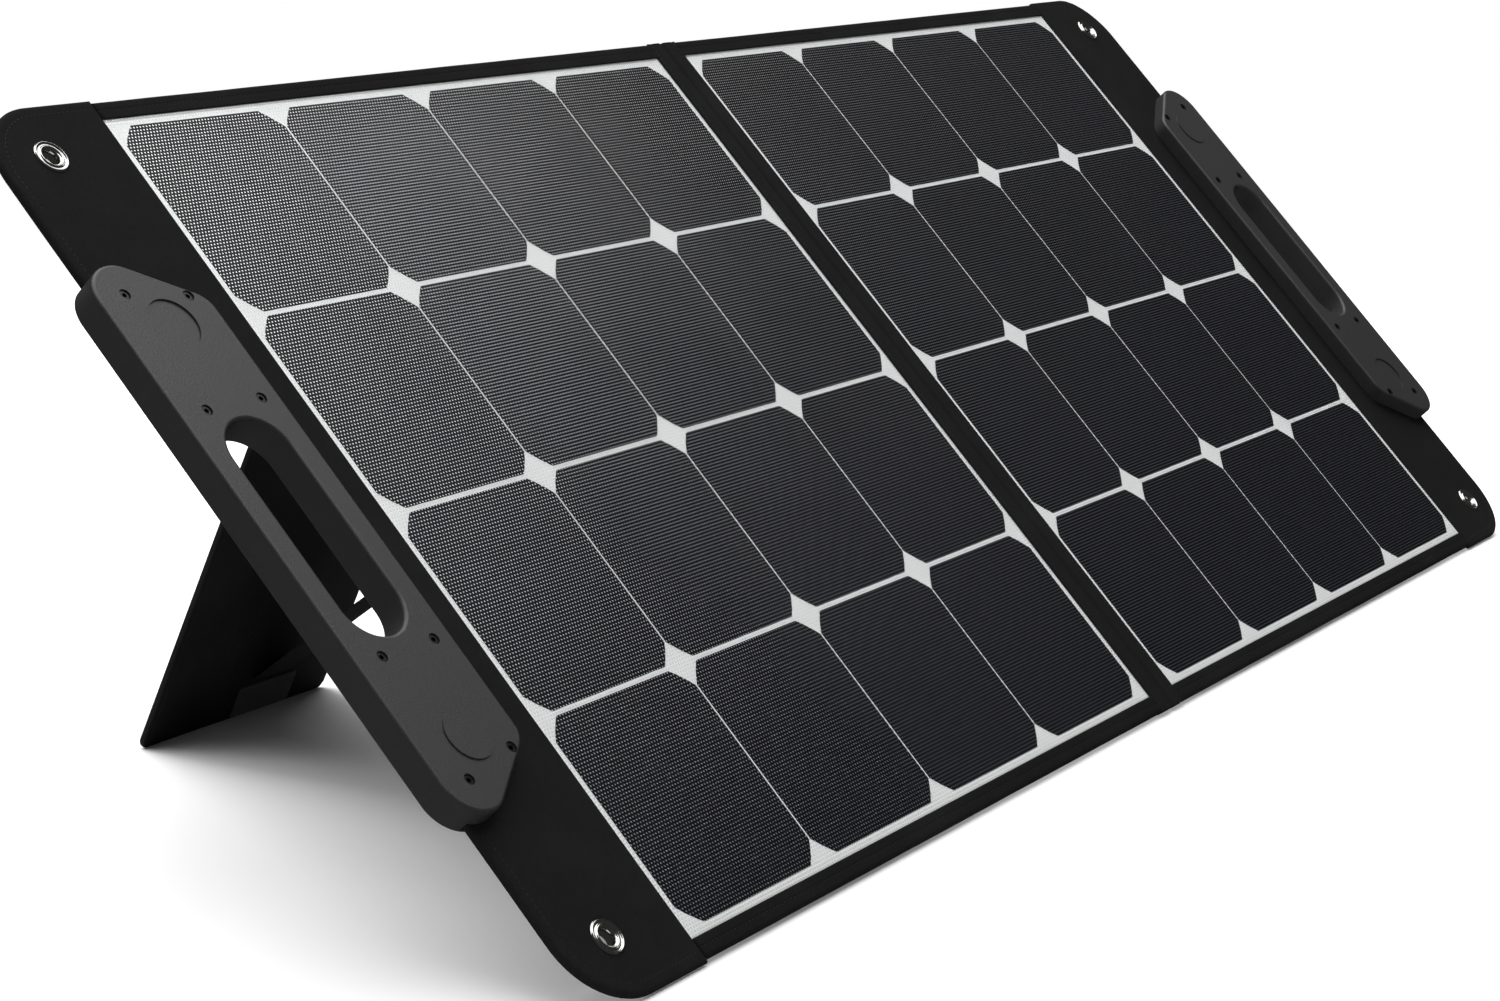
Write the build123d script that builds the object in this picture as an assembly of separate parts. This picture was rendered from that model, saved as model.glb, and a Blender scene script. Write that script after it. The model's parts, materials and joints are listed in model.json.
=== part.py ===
from build123d import *
import math
import os

# Folding two-leaf solar panel, standing open on its two fabric-covered kickstands.
#
# Each leaf is modelled flat in the leaf frame: x runs outwards from the fold line, v up the leaf
# from its middle, n out of its front face, with n = 0 where the laminate meets the stiffener board.
# The right leaf is built first and the left one is its mirror image. The open panel is then tilted
# until the leaves' lower edges and the stands' feet share one level surface.

# ---- driving dimensions, millimetres and degrees ----

# cells: back-contact wafers, square with corners trimmed by the wafer's round outline
cell = 125.0
wafer_r = 80.0
cell_t = 0.25
columns = 4
rows = 4
column_gap = 1.5
row_gap = 3.0
tab_width = 7.0
tab_spacing = 38.0
tab_t = 0.12

# laminate and cloth layers
sheet_margin = 5.0
rim_overlap = 6.0
board_t = 2.2
sheet_t = 0.5
film_t = 0.45
cloth_t = 0.9

# leaf outline
spine_half = 15.2
binding_width = 12.0
flap_width = 88.0
flap_step = 1.5
flap_corner_r = 42.0
cloth_gap = 0.3
core_gap = 0.2
ribbon_width = 22.0
ribbon_t = 0.5
ribbon_above_foot = 60.0

# eyelets
eyelet_bore_r = 5.0
eyelet_wall = 0.8
eyelet_flange_r = 10.0
eyelet_flange_t = 1.0
eyelet_edge_r = 0.45
washer_t = 0.7
eyelet_side_inset = 36.0
eyelet_end_inset = 33.0
cloth_hole_gap = 0.15

# handles
handle_length = 330.0
handle_width = 71.5
handle_overhang = 11.5
handle_front_h = 10.7
handle_back_h = 2.1
handle_seam_h = 1.9
handle_end_flat = 27.0
handle_end_drop = 28.5
handle_inner_r = 14.0
handle_mid_r = 17.0
handle_outer_r = 21.0
handle_edge_r = 1.8
handle_back_edge_r = 1.2
slot_length = 131.0
slot_width = 41.0
slot_outer_bar = 15.0
slot_edge_r = 2.0
slot_rim = 3.5

# handle screws, magnets and the round catch faces over the magnets
screw_outer_inset = 19.0
screw_inner_inset = 12.8
screw_end_outer = 18.5
screw_end_inner = 25.5
screw_slot_gap = 9.0
screw_shank_r = 1.5
screw_head_r = 2.8
screw_head_t = 2.6
screw_socket_af = 2.5
screw_socket_depth = 1.4
screw_sink = 3.4
screw_end_gap = 1.3
sink_gap = 0.4
boss_r = 4.0
boss_gap = 0.5
catch_r = 14.5
catch_end_inset = 39.5
catch_inner_inset = 34.3
catch_rise = 0.8
catch_gap = 0.5
catch_depth_gap = 0.2
magnet_r = 11.0
magnet_t = 3.0
magnet_roof = 1.3
magnet_gap = 0.2

# fold and kickstands
face_gap = 0.3
stand_opening = 70.0
stand_width = 168.0
stand_t = 3.5
stand_skin = 0.65
stand_core_inset = 3.0
stand_corner_r = 8.0
stand_gap = 2.4
stand_from_top = 81.0
stand_foot_clear = 91.0
stand_root = 5.0
hinge_tape_width = 150.0
hinge_tape_reach = 30.0
hinge_tape_t = 0.8
hinge_tape_lead = 6.0

# limiter straps and the hook and loop patches near the feet
strap_width = 34.0
strap_t = 1.4
strap_inboard = 21.0
strap_leaf_drop = 176.0
strap_foot_gap = 27.0
strap_leaf_end_gap = 0.9
strap_stand_end_gap = 2.0
anchor_height = 30.0
anchor_side = 3.0
anchor_t = 0.8
patch_width = 54.0
patch_height = 22.0
patch_foot_gap = 1.5
patch_t = 1.0

# lead pocket and its zip, on the back of the right leaf
pocket_margin = 20.0
pocket_stand_gap = 14.0
pocket_height = 300.0
pocket_depth = 24.0
pocket_wall = 1.0
pocket_flange = 8.0
pocket_corner_r = 12.0
pocket_edge_r = 4.0
zip_below_top = 26.0
zip_end_margin = 14.0
zip_slit = 3.0
zip_tape_width = 11.0
zip_tape_t = 0.7
coil_width = 2.3
coil_t = 1.5
coil_gap = 0.1
slider_length = 12.0
slider_width = 8.6
slider_top_t = 1.2
slider_gap = 0.3
slider_stop = 3.0
bail_length = 6.0
bail_width = 2.0
bail_h = 2.6
bail_wall = 0.8
puller_length = 32.0
puller_width = 7.0
puller_neck = 6.0
puller_t = 1.1

# junction box inside the pocket
box_width = 96.0
box_height = 62.0
box_depth = 15.0
box_wall = 2.0
box_lid_t = 2.0
box_corner_r = 6.0
box_below_zip = 44.0
circuit_t = 1.6
circuit_gap = 1.0
circuit_standoff = 2.5
diode_length = 10.0
diode_width = 8.0
diode_t = 3.0
diode_spacing = 32.0
post_r = 3.2
post_inset = 6.5
box_screw_r = 1.2
box_screw_head_r = 2.4
box_screw_head_t = 1.6
box_screw_end_gap = 1.0
gland_r = 6.0
gland_bore_r = 3.2
gland_length = 14.0
gland_thread_r = 5.0

# how far a cutting shape runs past the faces that it cuts
over = 1.0

# ---- sizes that follow ----

column_pitch = cell + column_gap
row_pitch = cell + row_gap
grid_width = columns * column_pitch - column_gap
grid_height = rows * row_pitch - row_gap
window_inner = spine_half
window_outer = window_inner + grid_width + 2 * sheet_margin
window_half_h = grid_height / 2 + sheet_margin
leaf_half_h = window_half_h + binding_width
leaf_outer = window_outer + flap_width
flap_half_h = leaf_half_h + flap_step
leaf_middle = leaf_outer / 2

laminate_inner = spine_half - rim_overlap
laminate_outer = window_outer + rim_overlap
laminate_half_h = leaf_half_h - cloth_t - cloth_gap

film_n = sheet_t + cell_t
face_n = film_n + film_t
front_n = face_n + cloth_t
board_n = -board_t
back_n = board_n - cloth_t

handle_face_n = front_n + handle_front_h
handle_back_n = back_n - handle_back_h
handle_seam_n = front_n + handle_seam_h
handle_outer = leaf_outer + handle_overhang
handle_inner = handle_outer - handle_width
handle_half_l = handle_length / 2
slot_outer = handle_outer - slot_outer_bar
slot_x = slot_outer - slot_width / 2
catch_x = handle_inner + catch_inner_inset
catch_v = handle_half_l - catch_end_inset
fold_n = handle_face_n + face_gap

stand_v = leaf_half_h - stand_from_top
stand_n = back_n - stand_gap - stand_t / 2
stand_length = stand_v + leaf_half_h - stand_foot_clear
stand_inner = leaf_middle - stand_width / 2
strap_x = leaf_middle - strap_inboard

pocket_inner = spine_half + pocket_margin
pocket_outer = stand_inner - pocket_stand_gap
pocket_width = pocket_outer - pocket_inner
pocket_x = (pocket_inner + pocket_outer) / 2
pocket_face_n = back_n - pocket_depth
zip_v = pocket_height / 2 - zip_below_top
zip_length = pocket_width - 2 * zip_end_margin
box_v = zip_v - box_below_zip - box_height / 2
box_back_n = back_n - box_depth


def slab(x0, x1, v0, v1, n0, n1):
    """Plain rectangular block between two corners in the leaf frame."""
    block = Box(x1 - x0, v1 - v0, n1 - n0)
    return Pos((x0 + x1) / 2, (v0 + v1) / 2, (n0 + n1) / 2) * block


def plate(outline, n0, n1):
    """Flat outline, drawn on n = 0, made into a plate from n0 to n1."""
    return Pos(0, 0, n0) * extrude(outline, n1 - n0)


def disc(x, v, radius, n0, n1):
    """Round disc standing on the leaf's plane."""
    return Pos(x, v, (n0 + n1) / 2) * Cylinder(radius, n1 - n0)


def rounded_right(x0, x1, half_h, radius):
    """Rectangle whose two outer corners are rounded."""
    outline = Pos((x0 + x1) / 2, 0) * Rectangle(x1 - x0, 2 * half_h)
    corners = outline.vertices().sort_by(Axis.X)[-2:]
    return fillet(corners, radius)


# ---- laminate ----


def cell_centres():
    """Middle of each cell, column by column."""
    x0 = window_inner + sheet_margin + cell / 2
    v0 = -grid_height / 2 + cell / 2
    return [(x0 + i * column_pitch, v0 + j * row_pitch) for i in range(columns) for j in range(rows)]


def solar_cells():
    """Sixteen wafers: a square crossed with the round ingot's outline."""
    wafer = Rectangle(cell, cell) & Circle(wafer_r)
    return [plate(Pos(x, v) * wafer, sheet_t, film_n) for x, v in cell_centres()]


def cell_tabs():
    """Three short tabs across each gap between the cells of a column."""
    tabs = []
    for i in range(columns):
        x = window_inner + sheet_margin + cell / 2 + i * column_pitch
        for j in range(1, rows):
            v = -grid_height / 2 + j * row_pitch - row_gap / 2
            for k in (-1, 0, 1):
                middle = x + k * tab_spacing
                edge = row_gap / 2
                tabs.append(slab(middle - tab_width / 2, middle + tab_width / 2, v - edge, v + edge,
                                 sheet_t, sheet_t + tab_t))
    return tabs


def laminate_layer(n0, n1):
    """One full layer of the leaf's stack, tucked under the cloth all round."""
    return slab(laminate_inner, laminate_outer, -laminate_half_h, laminate_half_h, n0, n1)


# ---- cloth ----


def eyelet_spots():
    """Middle of each eyelet."""
    x = leaf_outer - eyelet_side_inset
    v = flap_half_h - eyelet_end_inset
    return [(x, -v), (x, v)]


def screw_spots():
    """Middle of each handle screw: four at the ends and four beside the slot."""
    outer = handle_outer - screw_outer_inset
    inner = handle_inner + screw_inner_inset
    near = slot_length / 2 + screw_slot_gap
    spots = []
    for end in (-1, 1):
        spots.append((outer, end * (handle_half_l - screw_end_outer)))
        spots.append((inner, end * (handle_half_l - screw_end_inner)))
        spots.append((outer, end * near))
        spots.append((inner, end * near))
    return spots


def slot_outline(grow=0.0):
    """Round-ended finger slot, drawn along v."""
    shape = SlotOverall(slot_length + 2 * grow, slot_width + 2 * grow)
    return Pos(slot_x, 0) * (Rot(0, 0, 90) * shape)


def flap_cuts(n0, n1):
    """What passes through the end flap: eyelet barrels, screw bosses and the slot's rim."""
    barrel = eyelet_bore_r + eyelet_wall + cloth_hole_gap
    cuts = [disc(x, v, barrel, n0, n1) for x, v in eyelet_spots()]
    cuts += [disc(x, v, boss_r + boss_gap, n0, n1) for x, v in screw_spots()]
    cuts.append(plate(slot_outline(slot_rim + core_gap), n0, n1))
    return cuts


def end_flap():
    """Cloth pouch at the leaf's outer end, open towards the laminate that is tucked into it."""
    outer = rounded_right(window_outer, leaf_outer, flap_half_h, flap_corner_r)
    inner = rounded_right(window_outer - over, leaf_outer - cloth_t, flap_half_h - cloth_t,
                          flap_corner_r - cloth_t)
    pouch = plate(outer, back_n, front_n) - plate(inner, board_n, face_n)
    for cut in flap_cuts(back_n - over, front_n + over):
        pouch -= cut
    return pouch


def flap_core():
    """Foam sheet inside the end flap."""
    inset = cloth_t + core_gap
    outline = rounded_right(laminate_outer + core_gap, leaf_outer - inset, flap_half_h - inset,
                            flap_corner_r - inset)
    core = plate(outline, board_n, face_n)
    for cut in flap_cuts(back_n - over, front_n + over):
        core -= cut
    return core


def binding(end):
    """Folded cloth tape over the upper (end = 1) or lower (end = -1) edge of the leaf."""
    x0 = window_inner + cloth_gap
    x1 = window_outer - cloth_gap
    tape = slab(x0, x1, window_half_h, leaf_half_h, back_n, front_n)
    tape -= slab(x0 - over, x1 + over, window_half_h - over, leaf_half_h - cloth_t, board_n, face_n)
    return tape if end > 0 else mirror(tape, about=Plane.XZ)


def back_cover():
    """Cloth over the back of the board, between the bindings' back folds."""
    half = window_half_h - cloth_gap
    return slab(window_inner + cloth_gap, window_outer - cloth_gap, -half, half, back_n, board_n)


def spine_cloth(n0, n1):
    """Soft strip that joins the two leaves and bends along the fold."""
    return slab(-spine_half, spine_half, -leaf_half_h, leaf_half_h, n0, n1)


def link_ribbon():
    """Flat conductor that carries the left leaf's current across the fold."""
    low = -leaf_half_h + ribbon_above_foot
    reach = laminate_inner - core_gap
    return slab(-reach, reach, low, low + ribbon_width, board_n / 2, board_n / 2 + ribbon_t)


def ring_profile(r_in, r_out, n0, n1):
    """Turned ring about the vertical axis."""
    return Pos(0, 0, (n0 + n1) / 2) * (Cylinder(r_out, n1 - n0) - Cylinder(r_in, n1 - n0 + over))


def eyelet():
    """Front flange with a domed edge, barrel and the lip that is rolled over the washer."""
    barrel_r = eyelet_bore_r + eyelet_wall
    lip_n = back_n - washer_t
    flange = ring_profile(eyelet_bore_r, eyelet_flange_r, front_n, front_n + eyelet_flange_t)
    rims = flange.edges().filter_by(GeomType.CIRCLE).group_by(Axis.Z)[-1]
    flange = fillet(rims, eyelet_edge_r)
    barrel = ring_profile(eyelet_bore_r, barrel_r, lip_n - eyelet_wall, front_n)
    lip = ring_profile(eyelet_bore_r, barrel_r + 2 * eyelet_wall, lip_n - eyelet_wall, lip_n)
    return flange + barrel + lip


def eyelets():
    """Both eyelets of one flap."""
    return [Pos(x, v, 0) * eyelet() for x, v in eyelet_spots()]


def eyelet_washers():
    """Back washers that the eyelets are rolled over."""
    bore = eyelet_bore_r + eyelet_wall + cloth_hole_gap
    ring = ring_profile(bore, eyelet_flange_r, back_n - washer_t, back_n)
    return [Pos(x, v, 0) * ring for x, v in eyelet_spots()]


# ---- handle ----


def handle_outline():
    """Long plate with slanted inner ends and rounded corners."""
    corners = [(handle_inner, handle_half_l - handle_end_drop, handle_inner_r),
               (handle_outer - handle_end_flat, handle_half_l, handle_mid_r),
               (handle_outer, handle_half_l, handle_outer_r)]
    upper = [(x, v) for x, v, _ in reversed(corners)]
    lower = [(x, -v) for x, v, _ in corners]
    outline = make_face(Polyline(*(lower + upper), close=True))
    for x, v, radius in corners:
        for end in (-1, 1):
            corner = outline.vertices().sort_by_distance((x, end * v, 0))[0]
            outline = fillet(corner, radius)
    return outline


def handle_rim(n0, n1):
    """The part of the handle that stands clear of the flap: its outer edge and the slot's lining."""
    flap = rounded_right(handle_inner - over, leaf_outer + core_gap, flap_half_h, flap_corner_r)
    flap -= slot_outline(slot_rim)
    return plate(handle_outline(), n0, n1) - plate(flap, n0 - over, n1 + over)


def catch_spots(raised_end):
    """Middle of the raised catch face and of the sunk one."""
    return (catch_x, raised_end * catch_v), (catch_x, -raised_end * catch_v)


def in_slot(point):
    """Whether a point lies on or inside the slot's outline box."""
    return abs(point.X - slot_x) < slot_width / 2 + core_gap and abs(point.Y) < slot_length / 2 + core_gap


def handle_front(raised_end):
    """Front half: screw sinks, magnet pockets, one raised and one sunk catch face."""
    top = plate(handle_outline(), front_n, handle_face_n)
    top = fillet(top.edges().group_by(Axis.Z)[-1], handle_edge_r)
    top -= plate(slot_outline(), front_n - over, handle_face_n + over)
    mouth = [edge for edge in top.edges().group_by(Axis.Z)[-1] if in_slot(edge.center())]
    top = fillet(mouth, slot_edge_r)
    top -= handle_rim(front_n - over, handle_seam_n)
    raised, sunk = catch_spots(raised_end)
    top += disc(*raised, catch_r, handle_face_n - catch_rise, handle_face_n + catch_rise)
    floor_n = handle_face_n - catch_rise - catch_depth_gap
    top -= disc(*sunk, catch_r + catch_gap, floor_n, handle_face_n + over)
    for x, v in (raised, sunk):
        top -= disc(x, v, magnet_r + magnet_gap, front_n - over, floor_n - magnet_roof)
    for x, v in screw_spots():
        top -= disc(x, v, screw_head_r + sink_gap, handle_face_n - screw_sink, handle_face_n + over)
        top -= disc(x, v, screw_shank_r + sink_gap, front_n - over, handle_face_n)
    return top


def handle_rear():
    """Back half: thin shell, the rim that meets the front half, and eight screw bosses."""
    shell = plate(handle_outline(), handle_back_n, back_n)
    shell = fillet(shell.edges().group_by(Axis.Z)[0], handle_back_edge_r)
    shell += handle_rim(back_n, handle_seam_n)
    for x, v in screw_spots():
        shell += disc(x, v, boss_r, back_n, front_n)
    shell -= plate(slot_outline(), handle_back_n - over, handle_seam_n + over)
    for x, v in screw_spots():
        shell -= disc(x, v, screw_shank_r, handle_back_n + screw_end_gap, handle_seam_n + over)
    return shell


def handle_screws():
    """Socket screws, heads sunk below the front face."""
    seat = handle_face_n - screw_sink
    head = disc(0, 0, screw_head_r, seat, seat + screw_head_t)
    socket = RegularPolygon(screw_socket_af / 2, 6, major_radius=False)
    head -= plate(socket, seat + screw_head_t - screw_socket_depth,
                  seat + screw_head_t + over)
    screw = head + disc(0, 0, screw_shank_r, handle_back_n + screw_end_gap, seat)
    return [Pos(x, v, 0) * screw for x, v in screw_spots()]


def handle_magnets():
    """Two disc magnets, under the catch faces."""
    roof = handle_face_n - catch_rise - catch_depth_gap - magnet_roof
    return [disc(catch_x, end * catch_v, magnet_r, roof - magnet_t, roof) for end in (-1, 1)]


# ---- kickstand, drawn folded flat, hinge line at v = n = 0 and foot at v = -stand_length ----


def stand_outline(inset):
    """Stand board's outline with its foot corners rounded."""
    half = stand_width / 2 - inset
    top = -stand_root - inset
    foot = -stand_length + inset
    outline = Pos(0, (top + foot) / 2) * Rectangle(2 * half, top - foot)
    corners = outline.vertices().sort_by(Axis.Y)[:2]
    return fillet(corners, stand_corner_r - inset)


def stand_board():
    """Stiff sheet inside the stand."""
    half = stand_t / 2 - stand_skin
    return plate(stand_outline(stand_core_inset), -half, half)


def stand_cover():
    """Cloth sewn round the stand's stiff sheet."""
    return plate(stand_outline(0), -stand_t / 2, stand_t / 2) - stand_board()


def stand_hook_patch():
    """Hook strip near the foot, on the face that folds against the leaf."""
    low = -stand_length + patch_foot_gap
    return slab(-strap_inboard - patch_width / 2, -strap_inboard + patch_width / 2, low,
                low + patch_height, stand_t / 2, stand_t / 2 + patch_t)


def swing_stand(shape):
    """Opens a stand that is drawn folded, and hangs it on its hinge line."""
    return Pos(leaf_middle, stand_v, stand_n) * (Rot(stand_opening, 0, 0) * shape)


def stand_point(down, out):
    """Leaf-frame (v, n) of a point down the open stand, out towards the leaf from its middle."""
    a = math.radians(stand_opening)
    v = stand_v - down * math.cos(a) - out * math.sin(a)
    n = stand_n - down * math.sin(a) + out * math.cos(a)
    return v, n


def hinge_tape():
    """Cloth tape that hangs the stand: down the leaf's back, round the hinge, down the stand."""
    lay_n = back_n
    on_leaf = [(stand_v + hinge_tape_lead + hinge_tape_reach, lay_n),
               (stand_v + hinge_tape_lead + hinge_tape_reach, lay_n - hinge_tape_t),
               (stand_v + hinge_tape_lead, lay_n - hinge_tape_t)]
    back = -stand_t / 2
    on_stand = [stand_point(stand_root, back - hinge_tape_t),
                stand_point(stand_root + hinge_tape_reach, back - hinge_tape_t),
                stand_point(stand_root + hinge_tape_reach, back),
                stand_point(stand_root - hinge_tape_t, back),
                (stand_v + hinge_tape_lead - 2 * hinge_tape_t, lay_n)]
    outline = Plane.YZ * make_face(Polyline(*(on_leaf + on_stand), close=True))
    return Pos(leaf_middle - hinge_tape_width / 2, 0, 0) * extrude(outline, hinge_tape_width)


def limiter_strap():
    """Webbing strap, pulled tight between the leaf's back and the stand's foot end."""
    v0, n0 = stand_v - strap_leaf_drop, back_n - anchor_t
    v1, n1 = stand_point(stand_length - strap_foot_gap, stand_t / 2)
    span = math.hypot(v1 - v0, n1 - n0)
    slope = math.degrees(math.atan2(n1 - n0, v1 - v0))
    length = span - strap_leaf_end_gap - strap_stand_end_gap
    strap = Pos(0, strap_leaf_end_gap + length / 2, 0) * Box(strap_width, length, strap_t)
    return Pos(strap_x, v0, n0) * (Rot(slope, 0, 0) * strap)


def strap_anchor():
    """Doubled cloth patch that the strap is stitched to on the leaf's back."""
    v = stand_v - strap_leaf_drop
    half = strap_width / 2 + anchor_side
    return slab(strap_x - half, strap_x + half, v - anchor_height / 2, v + anchor_height / 2,
                back_n - anchor_t, back_n)


def loop_patch():
    """Loop strip on the leaf's back that holds the folded stand."""
    low = stand_v - stand_length + patch_foot_gap
    return slab(strap_x - patch_width / 2, strap_x + patch_width / 2, low, low + patch_height,
                back_n - patch_t, back_n)


# ---- lead pocket, zip and junction box, on the right leaf's back ----


def pocket():
    """Shallow cloth box sewn on by a flange all round, with a slit for the zip."""
    inside = pocket_width - 2 * pocket_flange
    tall = pocket_height - 2 * pocket_flange
    body = plate(RectangleRounded(inside, tall, pocket_corner_r), pocket_face_n, back_n)
    body = fillet(body.edges().group_by(Axis.Z)[0], pocket_edge_r)
    body += slab(-pocket_width / 2, pocket_width / 2, -pocket_height / 2, pocket_height / 2,
                 back_n - pocket_wall, back_n)
    cavity = plate(RectangleRounded(inside - 2 * pocket_wall, tall - 2 * pocket_wall,
                                    pocket_corner_r - pocket_wall), pocket_face_n + pocket_wall,
                   back_n + over)
    body -= fillet(cavity.edges().group_by(Axis.Z)[0], pocket_edge_r - pocket_wall)
    slit = zip_length - 2 * slider_stop
    body -= slab(-slit / 2, slit / 2, zip_v - zip_slit / 2, zip_v + zip_slit / 2,
                 pocket_face_n - over, pocket_face_n + pocket_wall + over)
    return Pos(pocket_x, 0, 0) * body


def zip_tapes():
    """Two tapes, each with its half of the coil along the slit."""
    halves = []
    for side in (-1, 1):
        near = side * coil_gap
        far = side * zip_tape_width
        tape = slab(-zip_length / 2, zip_length / 2, min(near, far), max(near, far),
                    pocket_face_n - zip_tape_t, pocket_face_n)
        far = side * (coil_gap + coil_width)
        tape += slab(-zip_length / 2, zip_length / 2, min(near, far), max(near, far),
                     pocket_face_n - zip_tape_t - coil_t, pocket_face_n - zip_tape_t)
        halves.append(Pos(pocket_x, zip_v, 0) * tape)
    return halves


def slider_x():
    """Middle of the slider with the zip shut."""
    return pocket_x + zip_length / 2 - slider_stop - slider_length / 2


def zip_slider():
    """Slider that straddles the coil, with a bail for the puller."""
    tape_n = pocket_face_n - zip_tape_t
    coil_n = tape_n - coil_t
    under = coil_n - slider_gap
    top = under - slider_top_t
    half_l = slider_length / 2
    body = slab(-half_l, half_l, -slider_width / 2, slider_width / 2, top, tape_n - slider_gap)
    channel = coil_gap + coil_width + slider_gap
    body -= slab(-half_l - over, half_l + over, -channel, channel, under, tape_n)
    bail = slab(-bail_length / 2, bail_length / 2, -bail_width / 2, bail_width / 2, top - bail_h, top)
    bail -= slab(-bail_length / 2 + bail_wall, bail_length / 2 - bail_wall, -bail_width, bail_width,
                 top - bail_h + bail_wall, top)
    return Pos(slider_x(), zip_v, 0) * (body + bail)


def zip_puller():
    """Cloth tag hooked through the slider's bail and lying down the pocket."""
    top = pocket_face_n - zip_tape_t - coil_t - slider_gap - slider_top_t
    near = top - (bail_h - bail_wall - puller_t) / 2
    half_w = bail_length / 2 - bail_wall - slider_gap
    tag = slab(-half_w, half_w, -puller_length, bail_width, near - puller_t, near)
    wide = slab(-puller_width / 2, puller_width / 2, -puller_length, -puller_neck, near - puller_t, near)
    return Pos(slider_x(), zip_v, 0) * (tag + wide)


def post_spots():
    """Corner posts of the junction box."""
    x = box_width / 2 - post_inset
    v = box_height / 2 - post_inset
    return [(-x, -v), (-x, v), (x, -v), (x, v)]


def junction_box():
    """Tray screwed shut, with corner posts and a hole for the gland."""
    lid_n = box_back_n + box_lid_t
    tray = plate(RectangleRounded(box_width, box_height, box_corner_r), lid_n, back_n)
    tray -= plate(RectangleRounded(box_width - 2 * box_wall, box_height - 2 * box_wall,
                                   box_corner_r - box_wall), lid_n - over, back_n - box_wall)
    for x, v in post_spots():
        tray += disc(x, v, post_r, lid_n, back_n - box_wall)
        tray -= disc(x, v, box_screw_r, lid_n - over, back_n - 2 * box_wall)
    middle_n = (lid_n + back_n) / 2
    hole = Rot(90, 0, 0) * Cylinder(gland_thread_r, 2 * (box_wall + over))
    tray -= Pos(0, -box_height / 2, middle_n) * hole
    return Pos(pocket_x, box_v, 0) * tray


def junction_lid():
    """Flat lid with four screw holes."""
    lid = plate(RectangleRounded(box_width, box_height, box_corner_r), box_back_n, box_back_n + box_lid_t)
    for x, v in post_spots():
        lid -= disc(x, v, box_screw_r, box_back_n - over, box_back_n + box_lid_t + over)
    return Pos(pocket_x, box_v, 0) * lid


def junction_screws():
    """Four small screws, heads on the lid."""
    head = disc(0, 0, box_screw_head_r, box_back_n - box_screw_head_t, box_back_n)
    shank = disc(0, 0, box_screw_r, box_back_n, back_n - 2 * box_wall - box_screw_end_gap)
    return [Pos(pocket_x + x, box_v + v, 0) * (head + shank) for x, v in post_spots()]


def circuit_board():
    """Board with the two bypass diodes, cut back round the corner posts."""
    floor_n = back_n - box_wall - circuit_standoff
    inner_w = box_width - 2 * (box_wall + circuit_gap)
    inner_h = box_height - 2 * (box_wall + circuit_gap)
    board = slab(-inner_w / 2, inner_w / 2, -inner_h / 2, inner_h / 2, floor_n - circuit_t, floor_n)
    for x, v in post_spots():
        board -= disc(x, v, post_r + circuit_gap, floor_n - circuit_t - over, floor_n + over)
        corner_x, corner_v = math.copysign(inner_w / 2, x), math.copysign(inner_h / 2, v)
        board -= slab(min(x, corner_x), max(x, corner_x), min(v, corner_v), max(v, corner_v),
                      floor_n - circuit_t - over, floor_n + over)
    for x in (-diode_spacing / 2, diode_spacing / 2):
        board += slab(x - diode_length / 2, x + diode_length / 2, -diode_width / 2, diode_width / 2,
                      floor_n - circuit_t - diode_t, floor_n - circuit_t)
    return Pos(pocket_x, box_v, 0) * board


def cable_gland():
    """Round gland in the box's lower wall, open for the output lead."""
    middle_n = (box_back_n + box_lid_t + back_n) / 2
    face = -box_height / 2
    nut = Pos(0, face - gland_length / 2, middle_n) * (Rot(90, 0, 0) * Cylinder(gland_r, gland_length))
    thread = Pos(0, face + box_wall / 2, middle_n) * (Rot(90, 0, 0) * Cylinder(gland_thread_r, box_wall))
    bore = Pos(0, face - gland_length / 2, middle_n) * (
        Rot(90, 0, 0) * Cylinder(gland_bore_r, 2 * (gland_length + box_wall)))
    return Pos(pocket_x, box_v, 0) * (nut + thread - bore)


# ---- the open panel ----


def lean():
    """Tilt that puts the leaf's lower back edge and the stand's foot on one level."""
    foot_v, foot_n = stand_point(stand_length, stand_t / 2)
    return math.degrees(math.atan2(back_n - foot_n, foot_v + flap_half_h))


def leaf_nodes(raised_end):
    """Every node of one leaf and its stand, as the right leaf."""
    return {
        "stiffener_board": laminate_layer(board_n, 0),
        "back_sheet": laminate_layer(0, sheet_t),
        "solar_cells": solar_cells(),
        "cell_tabs": cell_tabs(),
        "front_film": laminate_layer(film_n, face_n),
        "end_flap": end_flap(),
        "flap_core": flap_core(),
        "top_binding": binding(1),
        "bottom_binding": binding(-1),
        "back_cover": back_cover(),
        "eyelets": eyelets(),
        "eyelet_washers": eyelet_washers(),
        "handle_front": handle_front(raised_end),
        "handle_rear": handle_rear(),
        "handle_screws": handle_screws(),
        "handle_magnets": handle_magnets(),
        "strap_anchor": strap_anchor(),
        "loop_patch": loop_patch(),
        "limiter_strap": limiter_strap(),
        "stand_hinge_tape": hinge_tape(),
        "stand_board": swing_stand(stand_board()),
        "stand_cover": swing_stand(stand_cover()),
        "stand_hook_patch": swing_stand(stand_hook_patch()),
    }


def shared_nodes():
    """What joins the leaves, and what only the right leaf's back carries."""
    return {
        "front_spine": spine_cloth(face_n, front_n),
        "back_spine": spine_cloth(back_n, board_n),
        "link_ribbon": link_ribbon(),
        "lead_pocket": pocket(),
        "zip_tapes": zip_tapes(),
        "zip_slider": zip_slider(),
        "zip_puller": zip_puller(),
        "junction_box": junction_box(),
        "junction_lid": junction_lid(),
        "junction_screws": junction_screws(),
        "circuit_board": circuit_board(),
        "cable_gland": cable_gland(),
    }


def as_group(shape):
    """One shape from a list of separate solids."""
    return Compound(shape) if isinstance(shape, list) else shape


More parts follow.
